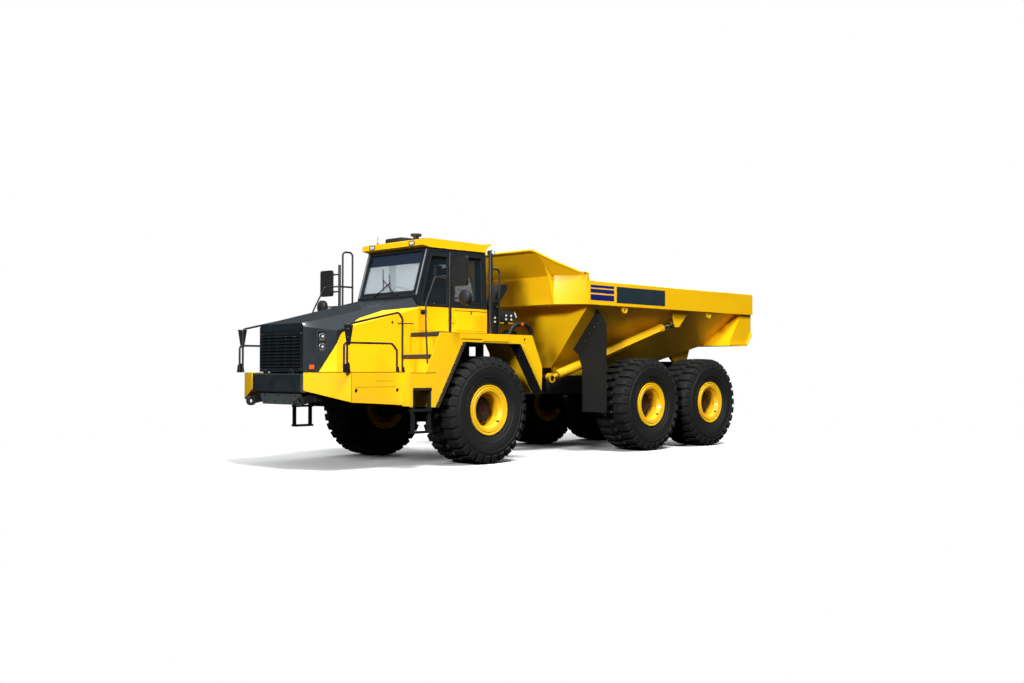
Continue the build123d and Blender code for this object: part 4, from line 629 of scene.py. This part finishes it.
def door_pieces():
    """Seal, inner rail, handle, bolts and hinges of the left door."""
    bm = bmesh.new()
    add_wall_frame(bm, 1, ((112, 2622), (708, 2622), (709, 2779), (509, 3488), (112, 3488)), 0.032)
    # rail inside the pane
    add_tube(bm, [place(150, 742, 3050), place(150, 722, 3050), place(640, 722, 3042), place(640, 742, 3042)],
             0.013)
    piece(bm, "door_seal_and_rail", SHEET_RUBBER, "door")
    bm = bmesh.new()
    add_wall_panel(bm, 1, rect(600, 730, 2470, 2545), CAB_SKIN, 0.006, 0.015)
    add_tube(bm, [place(615, 806, 2520), place(615, 826, 2520), place(712, 826, 2514), place(712, 806, 2514)],
             0.008, 0.012)
    piece(bm, "door_handle", PLASTIC, "door")
    bm = bmesh.new()
    add_bolts(bm, [place(a, 801, z) for a, z in ((690, 2655), (430, 2655), (150, 2655), (690, 2745))],
              OUT[1], 0.017)
    # hinges at the rear edge
    for z in (2300, 2680, 3400):
        add_disc(bm, place(72, 806, z), UP, 0.011, 0.070, 14, 0.002)
    piece(bm, "door_bolts", ZINC, "door")


def cab_sides():
    """Seals of the side panes, the door's pieces, and the raised panels with vent, with near-black painted
    shade at the latch and along the gap lines.
    """
    seals = bmesh.new()
    for side in SIDES:
        add_wall_frame(seals, side, ((-708, 2684), (-4, 2684), (-4, 3516), (-686, 3516)), 0.030)
    add_wall_frame(seals, -1, ((74, 2624), (716, 2624), (721, 2786), (517, 3516), (74, 3516)), 0.030)
    piece(seals, "side_window_seals", SHEET_RUBBER)
    door_pieces()
    panels, dark = bmesh.new(), bmesh.new()
    for side in SIDES:
        add_wall_panel(panels, side, rect(-770, -40, 2225, 2535), CAB_SKIN, 0.010, 0.055)
        # the vent's slats, then its uprights
        for z in range(2275, 2275 + 9 * 26, 26):
            add_box(panels, place(-712, side * 812 - 4, z), place(-432, side * 812 + 4, z + 12), 0.002)
        for x in range(-712, -712 + 11 * 28, 28):
            add_box(panels, place(x - 4, side * 810 - 4, 2268), place(x + 4, side * 810 + 4, 2500), 0.0015)
        # near-black strips: painted shade in the panels' gaps and at the latch
        add_wall_panel(dark, side, rect(-784, -30, 2552, 2562), CAB_SKIN, 0.003)
        add_wall_panel(dark, side, rect(-418, -400, 2503, 2553), 809, 0.008)
        add_wall_panel(dark, side, rect(-790, 60, 2165, 2186), CAB_SKIN, 0.003)
    piece(panels, "cab_rear_panels", YELLOW)
    piece(dark, "cab_gap_painted_shade", PAINTED_SHADE)


def roof_pieces():
    """The flat housing and dome on the roof, and the drip rails along its lower edges."""
    bm = bmesh.new()
    add_box(bm, place(-120, -640, 3738), place(330, -180, 3868), 0.03)
    add_disc(bm, place(360, 250, 3858), UP, 0.095, 0.045, 32, 0.012)
    piece(bm, "roof_housings", PLASTIC)
    bm = bmesh.new()
    for side in SIDES:
        add_box(bm, place(-770, side * 812 - 7, 3596), place(548, side * 812 + 7, 3612), 0.003)
    piece(bm, "drip_rails", YELLOW)


# ---- operator's seat: sewn cushion, backrest and headrest on their shell ----
VOXEL = 0.009
PRESSURE = 4.0
CLOTH_STEPS = 20


def add_pad(bm, outline, half, radius):
    """A cushion's inside shape from its side outline (ahead, height) and half width, with rounded edges."""
    part = bmesh.new()
    part.faces.new([part.verts.new(place(a, half, z)) for a, z in outline])
    thicken(part, part.faces[:], Vector((0, -2 * half / 1000, 0)))
    bmesh.ops.bevel(part, geom=part.edges[:], offset=radius, offset_type="OFFSET", segments=3, profile=0.5,
                    affect="EDGES", material=-1)
    merge(bm, part)


def settle(thing):
    """Applies the object's modifiers to its mesh."""
    bpy.context.view_layer.update()
    graph = bpy.context.evaluated_depsgraph_get()
    mesh = bpy.data.meshes.new_from_object(thing.evaluated_get(graph))
    old = thing.data
    thing.modifiers.clear()
    thing.data = mesh
    bpy.data.meshes.remove(old)


def inflate(name, outline, half, radius, cap):
    """One cushion: its shape is remeshed, blown up as cloth, no point by more than cap, and smoothed."""
    bm = bmesh.new()
    add_pad(bm, outline, half, radius)
    bmesh.ops.recalc_face_normals(bm, faces=bm.faces)
    mesh = bpy.data.meshes.new(name)
    bm.to_mesh(mesh)
    bm.free()
    thing = bpy.data.objects.new(name, mesh)
    scene = bpy.context.scene
    scene.collection.objects.link(thing)
    mesh.materials.append(SEAT)
    grid = thing.modifiers.new("grid", "REMESH")
    grid.mode = "VOXEL"
    grid.voxel_size = VOXEL
    settle(thing)
    before = [vert.co.copy() for vert in thing.data.vertices]
    cloth = thing.modifiers.new("cloth", "CLOTH")
    cloth.settings.use_pressure = True
    cloth.settings.uniform_pressure_force = PRESSURE
    cloth.settings.effector_weights.gravity = 0.0
    cloth.settings.quality = 4
    for step in range(1, CLOTH_STEPS + 1):
        scene.frame_set(step)
    settle(thing)
    scene.frame_set(1)
    for vert, start in zip(thing.data.vertices, before):
        way = vert.co - start
        if way.length > cap:
            vert.co = start + way * (cap / way.length)
    soft = thing.modifiers.new("soft", "SMOOTH")
    soft.factor, soft.iterations = 0.5, 3
    settle(thing)
    return thing


def sewn(half, axis=0, spots=()):
    """Seams of a cushion: one along each side bolster, this far from the middle, and cross seams between them
    at these places on an axis. Each is a function of a vertex's place that gives its distance in metres."""
    return [lambda co: abs(co.y) - half] + [lambda co, spot=spot: co[axis] - spot if abs(co.y) < half else 1.0
                                            for spot in spots]


def groove(thing, seams, depth, width):
    """Presses sewn lines of this depth and half width into a cushion."""
    mesh = thing.data
    normals = [vert.normal.copy() for vert in mesh.vertices]
    for vert, normal in zip(mesh.vertices, normals):
        sunk = 0.0
        for seam in seams:
            gap = abs(seam(vert.co)) / width
            if gap < 1:
                sunk = max(sunk, depth * (1 - gap * gap) ** 2)
        vert.co = vert.co - normal * sunk


def seat_pieces():
    """Cushion with side bolsters, ribbed backrest and headrest, on their base and back shell."""
    base = inflate("seat_cushion", ((-406, 2494), (50, 2494), (74, 2540), (48, 2584), (-404, 2564)),
                   244, 0.030, 0.016)
    back = inflate("seat_backrest", ((-412, 2560), (-318, 2520), (-410, 3184), (-472, 3188), (-486, 3100)),
                   234, 0.026, 0.014)
    head = inflate("seat_headrest", ((-410, 3222), (-460, 3222), (-478, 3366), (-440, 3368)),
                   118, 0.016, 0.010)
    groove(base, sewn(0.165, 0, [AXLE.x + run for run in (-0.31, -0.21, -0.11, -0.01)]), 0.007, 0.012)
    groove(back, sewn(0.150, 2, (2.68, 2.78, 2.88, 2.98, 3.08)), 0.007, 0.012)
    groove(head, sewn(0.085), 0.004, 0.010)
    for pad in (base, back, head):
        pad.data.shade_smooth()
        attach(pad, "front_unit")
    bm = bmesh.new()
    # suspension box with its bellows and seat pan, then headrest posts and the belt's buckles
    add_box(bm, place(-328, -198, 2152), place(-32, 198, 2196), 0.008)
    for i in range(6):
        fold = 6 * (i % 2)
        z = 2194 + 42 * i
        add_box(bm, place(-318 + fold, -188 + fold, z), place(-42 - fold, 188 - fold, z + 46), 0.010)
    add_box(bm, place(-414, -236, 2440), place(40, 236, 2498), 0.012)
    for side in SIDES:
        add_tube(bm, [place(-442, side * 42, 3172), place(-444, side * 42, 3240)], 0.008)
        add_box(bm, place(-300, side * 232 - 14, 2470), place(-180, side * 232 + 14, 2500), 0.008)
    piece(bm, "seat_base", PLASTIC)
    bm = bmesh.new()
    add_pad(bm, ((-428, 2560), (-416, 2560), (-482, 3090), (-478, 3170), (-492, 3170), (-498, 3096)),
            214, 0.005)
    piece(bm, "seat_back_shell", PLASTIC)
    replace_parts(base, "operator_seat")


# ---- hood: lamps, latches, grille ----
def hood_pieces():
    """Headlamp bowls with a small white dome of painted glint in each, the frames round both lamp groups, and
    the hood's latches.
    """
    lens, bowls, dark = bmesh.new(), bmesh.new(), bmesh.new()
    for side in SIDES:
        out = Vector((MASK_SIN, side * MASK_COS, 0))
        for z in (1894, 2051):
            add_turned(bowls, mask(side, 285, z, -20), out,
                       [(-0.004, 0.052), (0.008, 0.052), (0.010, 0.047), (-0.002, 0.040), (-0.010, 0.022),
                        (-0.012, 0.0)], 24)
            # small white dome beside the bowl's middle: painted glint on the bulb
            add_turned(lens, mask(side, 291, z + 6, -20), out,
                       [(-0.010, 0.017), (0.002, 0.015), (0.006, 0.008), (0.007, 0.0)], 16)
        # frames round the headlamps and the signal lamp
        for area, width, depth, radius in ((rect(204, 366, 1794, 2151), 0.012, 0.004, 0.02),
                                           (rect(84, 176, 1547, 1633), 0.013, 0.012, 0.01)):
            add_frame(dark, [mask(side, t, z, 0.5) for t, z in area], width, out * depth, radius)
        add_box(dark, place(1398, side * 906 - 3, 2290), place(1430, side * 906 + 6, 2330), 0.003)
    piece(lens, "headlamp_painted_glints", LENS_PAINTED_REFLECTION, "hood")
    piece(bowls, "headlamp_bowls", REFLECTOR, "hood")
    piece(dark, "hood_lamp_frames", PLASTIC, "hood")


def grille_pieces():
    """The grille's rounded frame, ten thin tilted louvres, four upright rods and the corner bolts."""
    bm = bmesh.new()
    add_frame(bm, [place(2874, y, z) for y, z in rect(-575, 575, 1535, 2180)], 0.036,
              Vector((0.040, 0, 0)), 0.015)
    add_box(bm, place(2880, -545, 2088), place(2904, 545, 2146), 0.006)
    half = 548
    for i in range(10):
        z = 1596 + 51.5 * i
        blade = ((2878, z + 24), (2910, z - 4), (2912, z + 1), (2880, z + 29))
        add_plate(bm, [place(a, -half, height) for a, height in blade], Vector((0, half / 500, 0)))
        # rolled front edge
        add_tube(bm, [place(2910, -half, z - 2), place(2910, half, z - 2)], 0.0045)
    for y in (-350, -118, 118, 350):
        add_box(bm, place(2884, y - 4, 1560), place(2908, y + 4, 2100), 0.001)
    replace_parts(piece(bm, "grille_louvres", LOUVRE, "hood"), "grille")
    bm = bmesh.new()
    # near-black sheet behind the louvres: painted shade of the grille's dark inside
    add_panel(bm, [place(2868, y, z) for y, z in rect(-560, 560, 1550, 2165)], Vector((0.003, 0, 0)))
    piece(bm, "grille_painted_shade_sheet", PAINTED_SHADE, "hood")
    bm = bmesh.new()
    add_bolts(bm, [place(2914, y, z) for y in (-556, 556) for z in (1553, 2100)], FORWARD, 0.020)
    piece(bm, "grille_bolts", ZINC, "hood")


# ---- front: fairings, belly plate, rails' feet, fender lines, arch bolts, stairs ----
def front_pieces():
    """Fairings cut to their slanted lower edge, the belly plate's facing, and bolts, gap lines of painted
    shade and feet.
    """
    bm = cut_copy("side_skirts", [(place(2640, 0, 1064), Vector((0.45, 0, -0.893))),
                                  (place(2966, 0, 1228), Vector((0.85, 0, -0.527)))])
    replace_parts(piece(bm, "skirt_panels", YELLOW), "side_skirts")
    bm = bmesh.new()
    add_panel(bm, [place(2908.5, y, z) for y, z in ((-588, 1196), (588, 1196), (486, 1014), (-486, 1014))],
              Vector((0.004, 0, 0)))
    piece(bm, "belly_facing", BELLY)
    bolts, lines, posts = bmesh.new(), bmesh.new(), bmesh.new()
    add_bolts(bolts, [place(2912.5, y, z) for y, z in ((-420, 1060), (-420, 1150), (420, 1060), (420, 1150),
                                                      (0, 1150), (-130, 1060), (130, 1060))], FORWARD, 0.022)
    for side in SIDES:
        # seams of the fairing, drawn near-black as painted shade
        for a0, a1, z0, z1 in ((2637, 2643, 1062, 1502), (1791, 2576, 1285, 1289), (1830, 2181, 1376, 1380)):
            add_box(lines, place(a0, side * FAIRING - 1, z0), place(a1, side * FAIRING + 1, z1))
        # painted shade: the gap between the fender's side plate and its lower part, and the shadow in the toe
        # recess
        add_box(lines, place(1130, side * FENDER - 1.2, 1496), place(1652, side * FENDER + 1.2, 1505))
        add_wall_panel(lines, side, rect(1217, 1600, 1226, 1268), FENDER - 0.5, 0.004)
        # feet and brackets of the rails: half widths at the bottom and top, and their heights
        for a, w0, w1, z0, z1 in ((2700, 46, 24, DECK, DECK + 150), (2760, 34, 20, DECK, DECK + 130),
                                  (1640, 34, 20, DECK, DECK + 90), (1750, 34, 20, DECK, DECK + 90),
                                  (2695, 30, 85, 1915, 2215)):
            add_wall_panel(posts, side, ((a - w0, z0), (a + w0, z0), (a + w1, z1), (a - w1, z1)), 1448,
                           0.010, 0.008)
        add_tube(posts, [place(1440, side * 1452, 2268), place(1750, side * 1452, 2263)], 0.009)
        add_bolts(bolts, [place(2700, side * 1458, z) for z in (2150, 2030)], OUT[side], 0.020)
        # bolts up both slopes of the arch's rubber: the ends of each row, how many, and how far out
        for (a0, z0), (a1, z1), count, lift in (((1140, 960), (550, 2000), 7, 0.0167),
                                                ((-1245, 1150), (-700, 1985), 6, 0.0006)):
            run = Vector((a1 - a0, 0, z1 - z0)).normalized()
            out = Vector((run.z, 0, -run.x))
            for share in ((i + 0.6) / count for i in range(count)):
                spot = place(a0 + (a1 - a0) * share, side * 1682, z0 + (z1 - z0) * share)
                add_bolts(bolts, [spot + out * lift], out, 0.016)
    piece(bolts, "front_bolts", ZINC)
    piece(lines, "fairing_painted_shade", PAINTED_SHADE)
    piece(posts, "rail_feet", POWDER)


def stair_pieces():
    """Ribbed treads with nosings on the two steps up to each side of the cab."""
    bm = bmesh.new()
    for side in SIDES:
        y0, y1 = sorted((side * 920, side * 1616))
        for a0, a1, z in ((1036, 1200, 1781), (848, 1046, 2141)):
            add_box(bm, place(a0, y0, z), place(a1, y1, z + 6), 0.002)
            add_box(bm, place(a1 - 10, y0, z - 62), place(a1, y1, z + 6), 0.003)
            for rib in range(a0 + 8, a0 + 8 + 26 * ((a1 - a0) // 26), 26):
                add_box(bm, place(rib, y0 + 8, z + 5), place(rib + 8, y1 - 8, z + 12), 0.001)
    piece(bm, "stair_treads", GRATING)


# ---- rear edge of the platform: work lamps, valve housing, hoses ----
def deck_pieces():
    """Work lamps, the valve housing with its lamp bar, the post's lamp and the transmission hoses."""
    box, lens, hose, caps, tags = (bmesh.new() for _ in range(5))
    for a, y, z in ((-905, 806, 2465), (-990, 806, 2465), (-905, 806, 2395), (-990, 806, 2395),
                    (-1300, 776, 2515), (-1430, 776, 2515), (-1300, 776, 2448), (-1430, 776, 2448)):
        add_disc(lens, place(a, y, z), OUT[1], 0.021, 0.016, 20, 0.003)
    # valve housing: case, side cover, ribs, bracket down to the deck, and a lamp bar at its rear
    add_box(box, place(-1490, 500, 2372), place(-1075, 772, 2600), 0.014)
    add_box(box, place(-1240, 768, 2400), place(-1130, 784, 2580), 0.004)
    for a in range(-1470, -1470 + 6 * 60, 60):
        add_box(box, place(a, 510, 2596), place(a + 24, 762, 2616), 0.003)
    add_box(box, place(-1120, 560, 2150), place(-1075, 600, 2380), 0.006)
    add_box(box, place(-1160, 480, 2600), place(-1075, 800, 2645), 0.008)
    add_wall_panel(lens, 1, ((-1500, 2580), (-1530, 2580), (-1572, 2490), (-1542, 2490)), 773, 0.006, 0.004)
    add_wall_panel(box, 1, ((-1470, 2596), (-1540, 2596), (-1592, 2470), (-1470, 2470)), 760, 0.012, 0.01)
    add_box(tags, place(-1250, 766, 2374), place(-1120, 776, 2392), 0.002)
    add_box(tags, place(-1480, 766, 2374), place(-1360, 776, 2392), 0.002)
    # duct across the deck, and slats of the box below it
    add_box(box, place(-1062, 300, 2655), place(-860, 770, 2700), 0.01)
    for a in range(-1040, -1040 + 5 * 36, 36):
        add_box(box, place(a, 798, 2200), place(a + 18, 812, 2330), 0.003)
    # lamp on the stout post
    add_box(box, place(-900, 800, 3560), place(-800, 905, 3640), 0.012)
    add_disc(lens, place(-850, 906, 3600), OUT[1], 0.034, 0.012, 24, 0.003)
    add_hose(hose, ((-1075, 1060, 2130), (-1150, 1060, 2350), (-1560, 1080, 2370), (-1660, 1080, 2130),
                    (-1580, 900, 1780), (-1300, 620, 1560), (-1180, 470, 1480)), 0.040)
    add_hose(hose, ((-1075, 980, 2120), (-1180, 980, 2240), (-1360, 980, 2180), (-1400, 940, 1900),
                    (-1300, 700, 1620), (-1180, 520, 1500)), 0.028)
    add_disc(caps, place(-1370, 1108, 2352), OUT[1], 0.030, 0.03, 16, 0.004)
    piece(box, "deck_box_details", PLASTIC)
    piece(lens, "deck_lamps", LENS_PAINTED_REFLECTION)
    piece(hose, "transmission_hoses", HOSE)
    piece(caps, "hose_cap", AMBER)
    piece(tags, "valve_strips", YELLOW)


def hitch_hoses():
    """Four hoses that arch from the deck's rear edge down to the front frame's tail box."""
    bm = bmesh.new()
    for side in SIDES:
        for y, reach in ((640, 1560), (740, 1640)):
            low, end = 2420 - y, 0.8 * y - 330
            add_hose(bm, ((-1080, side * y, 2110), (-1200, side * y, 2110), (-reach, side * y, 2330),
                          (-reach, side * (y - 60), low), (-1080, side * end, low - 150),
                          (-1080, side * end, 1430)), 0.028)
    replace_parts(piece(bm, "hitch_hoses", HOSE), "hoses")


# ---- mirrors ----
def mirror_pieces():
    """The glass of both mirrors on each side, the round one's back, and the clamps of the tall one."""
    glass, rims = bmesh.new(), bmesh.new()
    for side in SIDES:
        add_panel(glass, [place(724.5, side * y, z) for y, z in rect(1634, 1926, 2904, 3326)],
                  Vector((-0.003, 0, 0)), 0.03)
        add_disc(glass, place(719, side * 1910, 2690), (-1, 0, 0), 0.112, 0.004, 40)
        add_turned(rims, place(780, side * 1910, 2690), FORWARD,
                   [(-0.004, 0.118), (0.016, 0.108), (0.034, 0.07), (0.040, 0.0)], 40)
        for z in (2960, 3270):
            add_disc(rims, place(722, side * 1624, z), FORWARD, 0.02, 0.03, 16, 0.004)
    piece(glass, "mirror_glass", MIRROR)
    piece(rims, "mirror_backs", PLASTIC)


# ---- dump body: films, edge lips, flap bolts ----
def body_pieces():
    """Stripes and blank panel on the rails, the guard's bulb lip, the rails' end caps, the flaps' bolts."""
    navy, film, lips, bolts = (bmesh.new() for _ in range(4))
    for side in SIDES:
        # three stripes, each deeper than the one above
        for z0, z1 in ((3062, 3110), (2966, 3038), (2830, 2936)):
            add_wall_panel(navy, side, rect(-3390, -2712, z0, z1), RAIL, 0.0012)
        add_wall_panel(film, side, rect(-4975, -3468, 2806, 3112), RAIL, 0.0012)
        add_tube(lips, [place(-1768, 0, 3712), place(-1768, side * 968, 3712),
                        place(-2150, side * 1160, 3528), place(-2535, side * 1440, 3340)], 0.022, 0.06)
        add_tube(lips, [place(-2540, side * 1538, 3334), place(-2668, side * 1540, 3318)], 0.014)
        # end cap of the rail
        add_box(lips, place(-8143, side * 1400 - 150, 2756), place(-8129, side * 1400 + 148, 3174), 0.004)
        add_bolts(bolts, [place(-3068, side * y, z) for y, z in ((1440, 2420), (1330, 2350), (1220, 2230),
                                                                 (1110, 2090), (1000, 1950), (930, 1850))],
                  FORWARD, 0.018)
    piece(navy, "body_stripes", NAVY, "dump_body")
    piece(film, "body_panels", FILM, "dump_body")
    piece(lips, "body_lips", YELLOW, "dump_body")
    piece(bolts, "flap_bolts", ZINC, "dump_body")


# ---- lights, world and floor ----
def world_light():
    """Soft light from above and little from below; straight views and glass see plain white."""
    world = bpy.data.worlds.new("studio")
    bpy.context.scene.world = world
    world.use_nodes = True
    tree = world.node_tree
    tree.nodes.clear()
    rays = add_node(tree, "LightPath").outputs
    seen = add_node(tree, "Math", {0: rays["Is Camera Ray"], 1: rays["Is Transmission Ray"]},
                    operation="MAXIMUM")
    way = add_node(tree, "TexCoord").outputs["Generated"]
    rise = add_node(tree, "SeparateXYZ", {"Vector": way}).outputs["Z"]
    level = add_node(tree, "MapRange", {"Value": rise, "From Min": 0.2, "From Max": 0.9, "To Min": 0.02,
                                        "To Max": 0.9}, interpolation_type="SMOOTHSTEP")
    soft = add_node(tree, "Background", {"Color": linear("#F4F7FA"), "Strength": level.outputs["Result"]})
    white = add_node(tree, "Background", {"Color": (1, 1, 1, 1), "Strength": 1.0})
    mix = add_node(tree, "MixShader", {0: seen.outputs[0], 1: soft.outputs[0], 2: white.outputs[0]})
    output = tree.nodes.new("ShaderNodeOutputWorld")
    tree.links.new(mix.outputs[0], output.inputs["Surface"])


def lamp(name, spot, target, size, watts):
    """A large soft panel lamp aimed at a point."""
    light = bpy.data.lights.new(name, "AREA")
    light.shape = "DISK"
    light.size = size
    light.energy = watts
    thing = bpy.data.objects.new(name, light)
    thing.location = spot
    thing.rotation_euler = (Vector(target) - Vector(spot)).to_track_quat("-Z", "Y").to_euler()
    bpy.context.scene.collection.objects.link(thing)


def studio_floor():
    """Matt white paper floor. Close in it shows the shadow; further out it fades into the white backdrop."""
    bm = bmesh.new()
    bmesh.ops.create_circle(bm, cap_ends=True, radius=120, segments=96)
    mesh = bpy.data.meshes.new("floor")
    bm.to_mesh(mesh)
    bm.free()
    material, tree, coords = new_material("white_paper_floor")
    camera_ray = add_node(tree, "LightPath").outputs["Is Camera Ray"]
    # the object sees a duller floor than the camera does, so that little light comes up from below
    tone = blend_colour(tree, camera_ray, linear("#2E2C28"), linear("#F8F8F8"))
    paper = add_node(tree, "BsdfDiffuse", {"Color": tone})
    glow = add_node(tree, "Emission", {"Color": (1, 1, 1, 1), "Strength": 1.0})
    far = add_node(tree, "VectorMath", {0: coords}, operation="LENGTH").outputs["Value"]
    fade = add_node(tree, "MapRange", {"Value": far, "From Min": 6.0, "From Max": 11.0},
                    interpolation_type="SMOOTHSTEP")
    share = add_node(tree, "Math", {0: fade.outputs["Result"], 1: camera_ray}, operation="MULTIPLY")
    mix = add_node(tree, "MixShader", {0: share.outputs[0], 1: paper.outputs[0], 2: glow.outputs[0]})
    close_material(tree, mix)
    mesh.materials.append(material)
    thing = bpy.data.objects.new("floor", mesh)
    bpy.context.scene.collection.objects.link(thing)


for name, centre in WHEELS.items():
    wheel_pieces(name, centre)
cab_front()
cab_sides()
roof_pieces()
seat_pieces()
hood_pieces()
grille_pieces()
front_pieces()
stair_pieces()
deck_pieces()
hitch_hoses()
mirror_pieces()
body_pieces()

world_light()
lamp("key", (7, 19, 31), (0, 0, 1.5), 9, 14000)
lamp("front", (31.9, 13.7, 12.8), (-2, 0, 2.3), 6, 10200)
lamp("back", (-12, -6, 10), (-2, 0, 2), 8, 700)
studio_floor()
